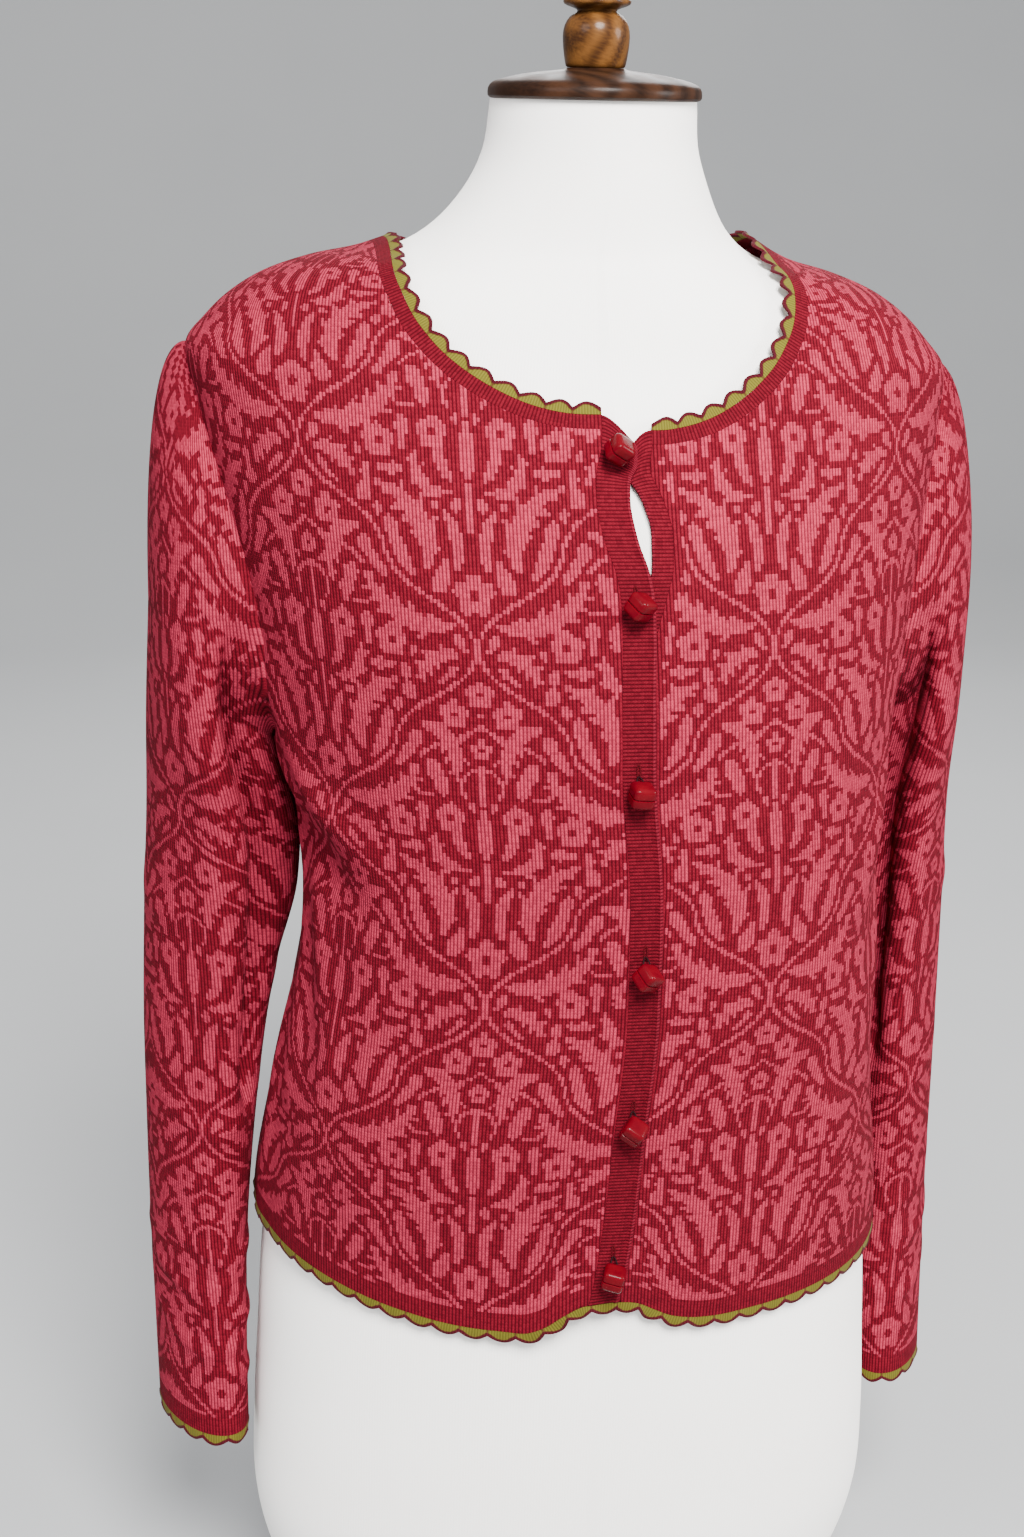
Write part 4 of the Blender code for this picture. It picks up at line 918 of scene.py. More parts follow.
def cloth_mesh(name, points, faces, stitches, motif, material):
    """A closed piece of cloth; stitches are counted at each point, motif on each face."""
    mesh = bpy.data.meshes.new(name)
    mesh.from_pydata(points.tolist(), [], faces)
    mesh.validate()
    layer = mesh.uv_layers.new(name="stitches")
    corner = np.empty(len(mesh.loops), np.int32)
    mesh.loops.foreach_get("vertex_index", corner)
    layer.data.foreach_set("uv", np.asarray(stitches, np.float32)[corner].ravel())
    mesh.attributes.new("motif", "FLOAT", "FACE").data.foreach_set("value", np.asarray(motif, np.float32))
    loose = face_outward(mesh)
    mesh.shade_smooth()
    mesh.set_sharp_from_angle(angle=np.radians(50))
    mesh.materials.append(material)
    area = sum(p.area for p in mesh.polygons) / 2
    print(f"{name}: {len(mesh.polygons)} faces, {area:.4f} m2, open edges {loose}")
    return in_scene(name, mesh)


# %% One knitted panel
def knitted_panel(name, lines, surface, pattern):
    """A panel from its cut lines in (distance, height) and the surface that it lies on."""
    outline, corners = dense_outline(lines)
    points, faces, stitches, motif, loops, ats = [], [], [], [], [], []
    start = 0
    for coarse, depth in ((1, 0.0), (INSIDE_COARSE["panel"], WALL)):
        spots, cells, centre, loop, at = net(outline, corners, STITCH * coarse)
        place, out = surface(spots[:, 0], spots[:, 1])
        points.append(place - out * depth)
        stitches.append(spots / STITCH)
        faces += [tuple(v + start for v in (c if coarse == 1 else c[::-1])) for c in cells]
        motif.append(pattern(*centre.T) if coarse == 1 else np.full(len(cells), BOTH_YARNS))
        loops.append([v + start for v in loop])
        ats.append({v + start: int(a) for v, a in enumerate(at)})
        start += len(spots)
    rim = zip_up(loops[0], ats[0], loops[1], ats[1], len(outline))
    (x, y), (next_x, next_y) = outline.T, np.roll(outline, -1, 0).T
    flat = abs(np.sum(x * next_y - next_x * y)) / 2
    size = outline.max(0) - outline.min(0)
    print(f"{name}: cut {size[0]:.3f} x {size[1]:.3f} m, {flat:.4f} m2")
    thing = cloth_mesh(name, np.vstack(points), faces + rim, np.vstack(stitches),
                       np.concatenate(motif + [np.full(len(rim), PLAIN_YARN)]), jacquard_knit)
    return thing, size, flat


# %% Fronts and back
HEM_FADE = 0.12                           # above the hem, where its rise no longer bends the courses
FRONT_STEM = 0.072                        # from the centre front to the damask's mirror line
BESIDE_BAND_PLAIN_AND_SHADOW = {-1: 0.0010, 1: 0.0045}     # plain courses along each front's band seam; the left front's wider strip is partly ground where its band peeks out and partly painted shadow cast by the right band's free edge


def height_of(row, rise):
    """Height above the hem of a row, where the hem has risen; the rise fades upward."""
    w = row - HEM_ROW
    for _ in range(30):
        w = row - HEM_ROW - rise * (1 - ease(w / HEM_FADE))
    return w


def place_of(d, w, rise_at, back):
    """Row and turn of a place d from the centre line and w above the hem."""
    middle = 2 if back else 0
    row = HEM_ROW + w
    for _ in range(4):
        turn = middle + d / quarter_at(row, back)
        row = HEM_ROW + w + rise_at(turn) * (1 - ease(w / HEM_FADE))
    return row, turn


def flatten(places, rise_at, back):
    """Cut lines from (row, turn) to (distance, height)."""
    row, turn = places.T
    return np.column_stack([(turn - (2 if back else 0)) * quarter_at(row, back),
                            height_of(row, rise_at(turn))])


# %% The three panels
def make_front(side, name):
    """A front: -1 is the wearer's right one, 1 the left."""
    def rise_at(turn):
        return hem_rise(turn, side)

    gap = side * SEAM / 2 / QUARTER
    neck_turns = np.linspace(neck_start(side), side, 300)
    neck = line(neck_row(neck_turns), neck_turns)
    edge_rows = np.linspace(HEM_ROW + rise_at(front_edge(side, HEM_ROW)), neck[0, 0], 400)
    edge = line(edge_rows, front_edge(side, edge_rows) + gap)
    seam, arm, shoulder = side_line(side, False)
    neck[0] = edge[-1]
    neck[-1] = shoulder[-1]
    hem_turns = np.linspace(edge[0, 1], seam[0, 1], 200)
    hem = line(HEM_ROW + rise_at(hem_turns), hem_turns)
    edge[0], seam[0] = hem[0], hem[-1]
    loop = [flatten(v, rise_at, False) for v in (hem, seam, arm, shoulder, neck[::-1], edge[::-1])]
    if side < 0:
        loop = [v[::-1] for v in loop[::-1]]

    def surface(d, w):
        row, turn = place_of(d, w, rise_at, False)
        return worn(row, turn, lift_of(side, row, turn))

    def motif(d, w):
        beside = from_band(side, *place_of(d, w, rise_at, False))
        # plain ground beside the band seam; on the left front this strip is also painted shadow of the right
        # band's edge
        return damask(d, w, FRONT_STEM) * (beside > BESIDE_BAND_PLAIN_AND_SHADOW[side])

    return knitted_panel(name, loop, surface, motif)


def make_back():
    """The back, from the left side seam round to the right one."""
    left_lines, right_lines = side_line(1, True), side_line(-1, True)
    for v in right_lines:
        v[:, 1] += 4
    turns = np.linspace(left_lines[0][0, 1], right_lines[0][0, 1], 400)
    hem = line(HEM_ROW + back_rise(turns), turns)
    neck_turns = np.linspace(left_lines[2][-1, 1], right_lines[2][-1, 1], 400)
    neck = line(neck_row(neck_turns), neck_turns)
    neck[0], neck[-1] = left_lines[2][-1], right_lines[2][-1]
    for lines, end in ((left_lines, 0), (right_lines, -1)):
        lines[0][0] = hem[end]
    loop = [hem] + right_lines + [neck[::-1]] + [v[::-1] for v in left_lines[::-1]]
    loop = [flatten(v, back_rise, True) for v in loop]

    def surface(d, w):
        return worn(*place_of(d, w, back_rise, True))

    return knitted_panel("back_knit", loop, surface, damask)


PIECES = {
    "right_front": make_front(-1, "right_front_knit"),
    "left_front": make_front(1, "left_front_knit"),
    "back": make_back(),
}

# %% [markdown]
# ## Sleeves
# A knitted tube: the armhole's edge is its first course, the cap bends over from it,
# and the tube hangs at the side with soft folds where the elbow and cuff let it sink.

# %% Sleeves
SLEEVE_AROUND, CAP_COURSES, HANG_COURSES = 176, 66, 256     # wales and courses
SLEEVE_STEM = 0.042         # from the outermost line to the damask's mirror line
UNDER_BEND = 0.65           # how far the cap's bend keeps the armhole's y
CAP_GAP, UNDERARM_GAP = 1.5, 2.5      # seams left beside the armhole, and more at the underarm
SAG = 0.010                 # how far a wrinkle's ends hang below its middle
FOLD_FADE = 0.05            # the stretch of z in which a sleeve's fold comes in or goes out
# wrinkles, most of them above the cuff: z, angle, half height, half width in degrees, height
WRINKLES = (
    (0.255, 100.0, 0.0050, 70.0, 0.0016),
    (0.236, 40.0, 0.0045, 55.0, 0.0016),
    (0.219, 120.0, 0.0045, 70.0, 0.0018),
    (0.201, 60.0, 0.0042, 60.0, 0.0016),
    (0.186, 140.0, 0.0042, 80.0, 0.0014),
    (0.330, 75.0, 0.0070, 50.0, 0.0014),
    (0.395, 95.0, 0.0080, 45.0, 0.0016),
    (0.245, 260.0, 0.0050, 60.0, 0.0014),
    (0.210, 230.0, 0.0050, 60.0, 0.0014),
    (0.450, 20.0, 0.0090, 40.0, 0.0012),
)


def underarm(angle):
    """1 at the underarm, and soon 0 away from it."""
    return ((1 - np.cos(angle)) / 2)**3


# %% The sleeve's outside
def sleeve_ring(side, count):
    """The sleeve's top edge, just inside the armhole: tip, front, underarm, back."""
    ahead = armhole_line(side, False, count)[::-1]
    behind = armhole_line(side, True, count)[1:-1]
    loop = np.vstack([ahead, behind])
    place, out = worn(loop[:, 0], loop[:, 1])
    along = unit(np.roll(place, -1, 0) - np.roll(place, 1, 0))
    inward = unit(np.cross(along, out)) * -side
    angle = np.arange(len(loop)) * 2 * np.pi / len(loop)
    gap = SEAM * (CAP_GAP + UNDERARM_GAP * underarm(angle))
    return place + inward * gap[:, None], out


def degrees_from(angle, middle):
    """How far an angle lies from a middle one, from -180 to 180 degrees."""
    return (np.degrees(angle) - middle + 180) % 360 - 180


def sleeve_fold(angle, z):
    """Height of the sleeve's own folds and of the wrinkles at the cuff."""
    height = np.zeros(np.broadcast(angle, z).shape)
    for angle_a, z_a, angle_b, z_b, width, rise in SLEEVE_FOLDS:
        t = np.clip((z_a - z) / (z_a - z_b), 0, 1)
        middle = angle_a + (angle_b - angle_a) * t
        fade = ease((z_a - z) / FOLD_FADE + 0.5) * ease((z - z_b) / FOLD_FADE + 0.5)
        away = degrees_from(angle, middle)
        height = height + rise * fade * np.exp(-(away / width)**2)
    for at, middle, tall, width, rise in WRINKLES:
        away = degrees_from(angle, middle)
        sag = SAG * (away / width)**2                   # a wrinkle curves like a hung line
        height = height + rise * np.exp(-((z - at - sag) / tall)**2 - (away / width)**2)
    return height


def sleeve_rows(side, z):
    """Centre, half length, half thickness and turn of a sleeve's section."""
    cx, cy, long_, thick, turn, dx, dy, slim = smooth_rows(SLEEVE[::-1], z)
    if side > 0:
        cx, cy, thick = cx + dx, cy + dy, thick + slim
    return cx, cy, long_, thick, np.radians(turn)


def sleeve_section(side, z, angle):
    """Outside of the hanging sleeve; angle 0 is outermost, 90 degrees faces the front."""
    cx, cy, long_, thick, turn = sleeve_rows(side, z)
    fold = sleeve_fold(angle, z)
    x, y = np.cos(angle) * (thick + fold), -np.sin(angle) * (long_ + fold)
    px = cx + x * np.cos(turn) + y * np.sin(turn)
    py = cy - x * np.sin(turn) + y * np.cos(turn)
    return np.stack([side * px, py, np.broadcast_to(z, px.shape)], -1)


def sleeve_sheet(side):
    """Armhole row first, cuff row last, and the way out at each place."""
    ring, ring_out = sleeve_ring(side, SLEEVE_AROUND // 2)
    angle = np.arange(SLEEVE_AROUND) * 2 * np.pi / SLEEVE_AROUND
    start = SLEEVE_START_IN + (SLEEVE_START_OUT - SLEEVE_START_IN) * (1 + np.cos(angle)) / 2
    first = sleeve_section(side, start, angle)
    bend_y = (1 - UNDER_BEND) * first[:, 1] + UNDER_BEND * ring[:, 1]
    bend = np.stack([first[:, 0], bend_y, ring[:, 2]], -1)
    cap = [(1 - t)**2 * ring + 2 * t * (1 - t) * bend + t**2 * first
           for t in np.linspace(0, 1, CAP_COURSES + 1)]
    hang = [sleeve_section(side, start + (CUFF_Z - start) * t, angle)
            for t in np.linspace(0, 1, HANG_COURSES + 1)[1:]]
    outer = np.array(cap + hang)
    round_ = np.roll(outer, -1, 1) - np.roll(outer, 1, 1)
    out = unit(np.cross(round_, np.gradient(outer, axis=0))) * side
    # at the underarm the cloth folds right back
    out[0] = unit(out[0] + ring_out + underarm(angle)[:, None] * (0, 0, -1))
    return outer, out


# %% A wall from a grid of places
def grid_mesh(name, sheet, stitches, motif, material, coarse=1, ring=False, depth=WALL,
              inside=PLAIN_YARN):
    """A wall from a grid of places: a fine outside, an inside with each coarse-th row.

    The motif is one value for the whole outside, or one for each of its cells."""
    outer, out = sheet
    rows, columns = outer.shape[:2]
    inner = (outer - out * depth)[::coarse, ::coarse]
    number = np.arange(rows * columns).reshape(rows, columns)
    within = rows * columns + np.arange(inner.shape[0] * inner.shape[1]).reshape(inner.shape[:2])
    faces = quads(number, ring).tolist()
    shown = len(faces)
    faces += quads(within, ring)[:, ::-1].tolist()

    def rim(outside, inside):
        """A closing strip: coarse outside steps to each inside one."""
        for k in range(len(inside) - 1):
            faces.append([int(v) for v in outside[k * coarse:(k + 1) * coarse + 1]][::-1]
                         + [int(inside[k]), int(inside[k + 1])])

    close = (lambda v: np.append(v, v[0])) if ring else (lambda v: v)
    for end in (0, -1):
        rim(close(number[end]), close(within[end]))
    if not ring:
        for end in (0, -1):
            rim(number[:, end], within[:, end])
    points = np.vstack([outer.reshape(-1, 3), inner.reshape(-1, 3)])
    map_ = np.vstack([stitches.reshape(-1, 2), stitches[::coarse, ::coarse].reshape(-1, 2)])
    motif = np.broadcast_to(motif, (rows - 1, shown // (rows - 1)))
    marks = np.concatenate([np.ravel(motif), np.full(len(faces) - shown, inside)])
    return cloth_mesh(name, points, faces, map_, marks, material)


# %% The sleeves' cut and their motif
def sleeve_place(side, points, line, height):
    """Where a place lies on the flat sleeve: aside from its outermost line, up from the cuff."""
    z = points[..., 2]
    cx, cy, long_, thick, turn = sleeve_rows(side, z)
    px, py = side * points[..., 0] - cx, points[..., 1] - cy
    angle = np.arctan2(-(px * np.sin(turn) + py * np.cos(turn)) / long_,
                       (px * np.cos(turn) - py * np.sin(turn)) / thick)
    part = np.abs(angle)[..., None] * (np.arange(24) + 0.5) / 24
    arc = np.hypot(thick[..., None] * np.sin(part), long_[..., None] * np.cos(part)).mean(-1)
    up = np.interp(z, line[::-1], height[::-1]) + np.clip(z - line[0], 0, None)
    return arc * np.abs(angle), up


def make_sleeve(side, name):
    """A sleeve with its true cut: the girth below its cap and its outermost length."""
    sheet = sleeve_sheet(side)
    outer = sheet[0]
    lengths = np.linalg.norm(np.diff(outer, axis=0), axis=-1)
    upward = np.concatenate([np.zeros((1, lengths.shape[1])), np.cumsum(lengths[::-1], 0)])[::-1]
    girth = np.linalg.norm(np.roll(outer, -1, 1) - outer, axis=-1).sum(1)
    line, height = outer[CAP_COURSES:, 0, 2], upward[CAP_COURSES:, 0]
    middle = (outer[:-1] + outer[1:]) / 2
    middle = (middle + np.roll(middle, -1, 1)) / 2
    motif = damask(*sleeve_place(side, middle, line, height), SLEEVE_STEM)
    stitches = np.stack(sleeve_place(side, outer, line, height), -1) / STITCH
    thing = grid_mesh(name, sheet, stitches, motif, jacquard_knit, INSIDE_COARSE["tube"], True,
                      inside=BOTH_YARNS)
    beside = np.roll(outer, -1, 1)
    cells = np.linalg.norm(np.cross(beside[1:] - outer[:-1], beside[:-1] - outer[1:]), axis=-1) / 2
    flat, width, crown = float(cells.sum()), girth[CAP_COURSES:].max(), upward[0].max()
    print(f"{name}: cut {width:.3f} x {crown:.3f} m, cuff {girth[-1]:.3f} m round, {flat:.4f} m2")
    return thing, (width, crown), flat, sheet


SLEEVE_SHEETS = {}
for side, name in ((-1, "right"), (1, "left")):
    *PIECES[name + "_sleeve"], SLEEVE_SHEETS[name] = make_sleeve(side, name + "_sleeve_knit")

# %% [markdown]
# ## Button bands and neckband
# Both bands are plain and knitted sideways, so their wales run across them.  The
# right one lies over the left, and each top corner slopes down from the neckline.
# A line of chained stitches finishes each free edge and stands up to catch the light;
# its outermost stitches are also painted lighter, as a highlight.


# %% Bands
EDGE_BEAD, EDGE_HIGHLIGHT_MIX = 0.0008, 0.3      # how far a band's edge stands up; how much of its outermost stitches is mixed yarn, partly the chained edge and partly a painted highlight
SLOPE_LENGTH = 0.03                    # how far below the neckband a band's top starts to slope
BAND_KEPT = 0.985                      # a band's area after its top corner is cut


def band_sheet(side, columns=10):
    """A button band, from its seam to its free edge, hem first."""
    bottom = HEM_ROW + hem_rise(front_edge(side, HEM_ROW), side)
    top = neck_row(neck_start(side))
    rows = np.append(np.linspace(bottom, top, 321), top + NECKBAND)
    _, right_edge, left_edge = placket(rows)
    if side < 0:
        near, far = right_edge - BAND_HALF + SEAM / 2, right_edge + BAND_HALF
        cut, bow = CORNER_CUT[0], 1.5
    else:
        near, far = left_edge + LEFT_BAND[1] - SEAM / 2, left_edge + LEFT_BAND[0]
        cut, bow = CORNER_CUT[1], 2.0
    share = np.linspace(0, 1, columns + 1)
    distance = near[:, None] + (far - near)[:, None] * share
    slope_from = rows[-1] - NECKBAND - SLOPE_LENGTH
    slope = ease((rows - slope_from) / (rows[-1] - slope_from))
    row = rows[:, None] - cut * slope[:, None] * share**bow
    outer, out = worn(row, distance / quarter_at(row), LAYER if side < 0 else 0.0)
    rise = outer[-1] - outer[-2]
    rise = rise * NECKBAND / np.linalg.norm(rise[0])
    extra = [outer[-2] + rise * t for t in np.linspace(0.25, 1, 4)]
    outer = np.vstack([outer[:-1], extra])
    out = np.vstack([out[:-1], np.repeat(out[-1:], 4, 0)])
    return outer, out


def band_stitches(sheet):
    """Stitch map of a strip knitted sideways: courses run along it."""
    outer = sheet[0]
    along = running(outer[:, 0])[:, None] / STITCH[0]
    across = np.linalg.norm(outer - outer[:, :1], axis=-1) / STITCH[1]
    return np.stack([np.broadcast_to(along, across.shape), across], -1)


def edge_line(sheet):
    """The free edge stands up a little, as a chained edge does."""
    outer, out = sheet
    outer = outer.copy()
    outer[:, -2:-1] += out[:, -2:-1] * EDGE_BEAD
    return outer, out


BANDS = {}
for side, name in ((-1, "right_band"), (1, "left_band")):
    BANDS[name] = band_sheet(side)
    sheet = edge_line(BANDS[name])
    marks = np.full(sheet[0].shape[1] - 1, PLAIN_YARN)
    # painted highlight along the free edge: its outermost stitches are lightened with mixed yarn
    marks[-1] = EDGE_HIGHLIGHT_MIX * BOTH_YARNS
    thing = grid_mesh(name + "_knit", sheet, band_stitches(sheet), marks, plain_knit)
    length = running(BANDS[name][0][:, 0])[-1]
    width = 2 * BAND_HALF if side < 0 else LEFT_BAND[1] - LEFT_BAND[0]
    PIECES[name] = (thing, (width, length), width * length * BAND_KEPT)


# %% Neck line
def across_line(points, out, upward, ring=False):
    """The way across a line within the cloth, upward or downward."""
    if ring:
        along = np.roll(points, -1, 0) - np.roll(points, 1, 0)
    else:
        along = np.gradient(points, axis=0)
    way = unit(np.cross(unit(along), out))
    return way if (way[:, 2].mean() > 0) == upward else -way


def front_neck(side):
    """The neckline of one front, from its button band to the shoulder."""
    turn = np.linspace(neck_start(side), side, 260)
    row = neck_row(turn)
    row[0] = min(row[0], row[1])
    return worn(row, turn, lift_of(side, row, turn))


def chain(*stretches, step=0.001):
    """Lines joined end to end and read again at even steps."""
    points = np.vstack([v[0] for v in stretches])
    outs = np.vstack([v[1] for v in stretches])
    length = running(points)
    kept = np.concatenate([[True], np.diff(length) > 1e-5])
    at = np.linspace(0, length[-1], int(length[-1] / step) + 1)
    return (read_line(at, length[kept], points[kept]), unit(read_line(at, length[kept], outs[kept])), at)


def backward(stretch):
    """A stretch of places and ways out, from its other end."""
    return tuple(v[::-1] for v in stretch)


def smoothed(line_, reach):
    """A line of vectors averaged over a few places either way."""
    kernel = np.hanning(2 * reach + 3)[1:-1]
    padded = np.pad(line_, ((reach, reach), (0, 0)), mode="edge")
    return np.stack([np.convolve(padded[:, k], kernel / kernel.sum(), "valid") for k in range(3)], 1)


back_turns = np.linspace(3, 1, 420)
back_neck = worn(neck_row(back_turns), back_turns)
neck_points, neck_out, neck_at = chain(front_neck(-1), back_neck, backward(front_neck(1)))
neck_across = unit(smoothed(across_line(neck_points, neck_out, True), 6))
for end, name in ((0, "right_band"), (-1, "left_band")):
    way = unit(BANDS[name][0][-1, 0] - BANDS[name][0][-5, 0])
    near = 1 - ease(np.abs(neck_at - neck_at[end]) / 0.02)[:, None]
    neck_across = unit(neck_across * (1 - near) + way * near)
print(f"neckline {neck_at[-1]:.3f} m long")


# %% Neckband
levels = (SEAM + NECKBAND * np.linspace(0, 1, 6))[:, None]
outer = neck_points + neck_across * levels[..., None]
stitches = np.stack(np.broadcast_arrays(neck_at / STITCH[0], levels / STITCH[1]), -1)
thing = grid_mesh("neckband_knit", (outer, np.broadcast_to(neck_out, outer.shape)), stitches, PLAIN_YARN,
                  plain_knit)
PIECES["neckband"] = (thing, (neck_at[-1], NECKBAND), None)

# %% [markdown]
# ## Scalloped edgings
# Round the neck, hem and cuffs runs a narrow edging of olive yarn in small lobes,
# overcast along their edge with dark plum.  Each lobe is a swelling of the strip's
# free edge; the material draws the plum line from the distance to that edge, and
# paints light and shade across the ribs of each lobe.

# %% Edging material
OLIVE, PLUM = "#555019", "#3a0a13"


def edging_material():
    """Olive chain yarn with a plum overcast edge."""
    material, tree, shader = new_material("olive_edging_cotton", Roughness=0.9, Sheen_Weight=0.02,
                                          Specular_IOR_Level=0.05)
    edge = add(tree, "Attribute", attribute_name="rim")        # mm from the free edge
    lobe = add(tree, "UVMap", uv_map="stitches")               # lobes along, mm across
    place = add(tree, "SeparateXYZ", {0: lobe})
    own = add(tree, "TexCoord").outputs["Object"]
    wander = add(tree, "TexNoise", {"Vector": own, "Scale": 700.0, "Detail": 2.0})      # yarn of 1.4 mm
    wobble = add(tree, "Math", {0: wander, 1: 0.9, 2: edge.outputs["Fac"]}, operation="MULTIPLY_ADD")
    border = add(tree, "MapRange", {0: wobble, 1: 1.9, 2: 2.4, 3: 1.0, 4: 0.0})
    part = add(tree, "Math", {0: place}, operation="FRACT")
    half = add(tree, "Math", {0: part, 1: 0.5}, operation="SUBTRACT")
    side = add(tree, "Math", {0: half}, operation="ABSOLUTE")
    notch = add(tree, "MapRange", {0: side, 1: 0.455, 2: 0.485, 3: 0.0, 4: 0.8})
    dark = add(tree, "Math", {0: border, 1: notch}, operation="MAXIMUM")
    # painted light and shade across each lobe, ten ribs to a lobe
    rays = add(tree, "Math", {0: place, 1: 2 * np.pi * 10}, operation="MULTIPLY")
    ray = add(tree, "Math", {0: rays}, operation="COSINE")
    painted_shading = add(tree, "MapRange", {0: ray, 1: -1.0, 2: 1.0, 3: 0.72, 4: 1.12})
    yarn = add(tree, "Mix", {"Factor": dark, "A": shade(OLIVE), "B": shade(PLUM)}, data_type="RGBA")
    colour = add(tree, "VectorMath", {0: yarn.outputs["Result"], "Scale": painted_shading}, operation="SCALE")
    thick = add(tree, "Math", {0: border, 1: 0.6, 2: painted_shading}, operation="MULTIPLY_ADD")
    bump = add(tree, "Bump", {"Strength": 0.7, "Distance": 0.0005, "Height": thick})
    feed(tree, shader, {"Base Color": colour, "Normal": bump})
    return material


olive_edging = edging_material()


# %% Edgings
LOBE_STEPS = 14                         # places along one lobe
LOBE_LEAN, LOBE_ROUND = 0.92, 1.15      # a wave that leans a little, its foot drawn in
EDGING_WALL, RUFFLE = 0.0012, 0.0007
EDGING_ROWS = (0, 0.2, 0.4, 0.6, 0.75, 0.88, 1.0)      # closer towards the free edge
FAR_MM = 9.0                            # farther than any place is from the free edge


def edging(name, points, out, across, start, ring=False):
    """A strip whose free edge runs in round lobes, a little ruffled."""
    if ring:
        points, out, across = (np.vstack([v, v[:1]]) for v in (points, out, across))
    length = running(points)
    lobes = max(1, round(length[-1] / SCALLOP_PITCH))
    count = lobes * LOBE_STEPS
    at = np.linspace(0, length[-1], count + 1)[:count if ring else count + 1]
    base, out, across = (read_line(at, length, v) for v in (points, out, across))
    out, across = unit(out), unit(across)
    phase = np.arange(len(at)) / LOBE_STEPS
    lobe = np.sin(np.pi * (phase % 1)**LOBE_LEAN)**LOBE_ROUND
    reach = SCALLOP_BASE + SCALLOP_LOBE * lobe
    share = np.array(EDGING_ROWS)[:, None]
    ruffle = RUFFLE * share**2 * np.cos(2 * np.pi * phase)[None]
    outer = (base[None] + across[None] * (start + share * reach)[..., None] + out[None] * ruffle[..., None])
    edge = np.stack([phase * SCALLOP_PITCH, start + reach], -1)
    spots = np.stack(np.broadcast_arrays(phase * SCALLOP_PITCH, start + share * reach), -1)
    gaps = np.full(spots.shape[:2], FAR_MM)
    for shift in range(-LOBE_STEPS, LOBE_STEPS + 1):
        other = np.roll(edge, -shift, 0)
        other = np.stack([spots[0, :, 0] + shift * SCALLOP_PITCH / LOBE_STEPS, other[:, 1]], -1)
        gaps = np.minimum(gaps, np.linalg.norm(spots - other[None], axis=-1) * 1e3)
    stitches = np.stack(np.broadcast_arrays(phase, (share * reach) * 1e3), -1)
    thing = grid_mesh(name, (outer, np.broadcast_to(out, outer.shape)), stitches, PLAIN_YARN, olive_edging,
                      1, ring, depth=EDGING_WALL)
    rim = np.concatenate([gaps.ravel(), gaps.ravel()]).astype(np.float32)      # outside, then inside
    thing.data.attributes.new("rim", "FLOAT", "POINT").data.foreach_set("value", rim)
    return thing, (length[-1], SCALLOP_BASE + SCALLOP_LOBE), float(length[-1] * reach.mean())


def front_hem(side):
    """The hem under one front, from its band's seam to the side."""
    turn = np.linspace(front_edge(side, HEM_ROW), side, 300)
    row = HEM_ROW + hem_rise(turn, side)
    return worn(row, turn, lift_of(side, row, turn))


PIECES["neck_edging"] = edging("neck_edging_olive", neck_points, neck_out, neck_across, NECKBAND + 2 * SEAM)
back_turns = np.linspace(3, 1, 500)
back_hem = worn(HEM_ROW + back_rise(back_turns), back_turns)
band_ends = {n: tuple(v[0] for v in BANDS[n]) for n in BANDS}
hem_points, hem_out, hem_at = chain(backward(band_ends["right_band"]), front_hem(-1), back_hem,
                                    backward(front_hem(1)), band_ends["left_band"])
hem_out = unit(smoothed(hem_out, 4))
hem_across = unit(smoothed(across_line(hem_points, hem_out, False), 6))
PIECES["hem_edging"] = edging("hem_edging_olive", hem_points, hem_out, hem_across, 1.8 * SEAM)
for name, sheet in SLEEVE_SHEETS.items():
    points, out = (v[-1] for v in sheet)
    across = across_line(points, out, False, ring=True)
    PIECES[f"{name}_cuff_edging"] = edging(f"{name}_cuff_edging_olive", points, out, across, SEAM, ring=True)
print(f"hem {hem_at[-1]:.3f} m long")

# %% [markdown]
# ## The padded form
# A shell padded with wadding under a tight off-white jersey cover.  Its sections
# come from the FORM table; a fine grid keeps it smooth, and the cover's rib runs up
# and down.  The cardigan rests on it, so it stays inside the cloth everywhere.

# %% Jersey
def jersey_material():
    """Fine cotton jersey, matt off-white; its rib is 1.4 mm wide, just seen."""
    material, tree, shader = new_material("cotton_jersey_cover", Roughness=0.9, Sheen_Weight=0.1,
                                          Sheen_Roughness=0.5, Specular_IOR_Level=0.2)
    stitches = add(tree, "UVMap", uv_map="stitches")
    place = add(tree, "SeparateXYZ", {0: stitches})
    turned = add(tree, "Math", {0: place, 1: 2 * np.pi}, operation="MULTIPLY")
    rib = add(tree, "Math", {0: turned}, operation="COSINE")
    own = add(tree, "TexCoord").outputs["Object"]
    cloud = add(tree, "TexNoise", {"Vector": own, "Scale": 9.0, "Detail": 4.0})      # clouds of 110 mm
    # fibres of 1.1 mm, coarse to show
    fibre = add(tree, "TexNoise", {"Vector": own, "Scale": 900.0, "Detail": 2.0})
    colour = add(tree, "Mix", {"Factor": cloud, "A": shade("#f6f2ee"), "B": shade("#fcfaf6")},
                 data_type="RGBA")
    height = add(tree, "Math", {0: rib, 1: 0.5, 2: fibre}, operation="MULTIPLY_ADD")
    bump = add(tree, "Bump", {"Strength": 0.25, "Distance": 0.0003, "Height": height})
    feed(tree, shader, {"Base Color": colour.outputs["Result"], "Normal": bump})
    return material


cotton_jersey = jersey_material()

# %% Form
FORM_AROUND, FORM_UP = 168, 190
RIBS, RIB = 160, 0.0014                 # ribs of the jersey in a quarter turn; height of a course


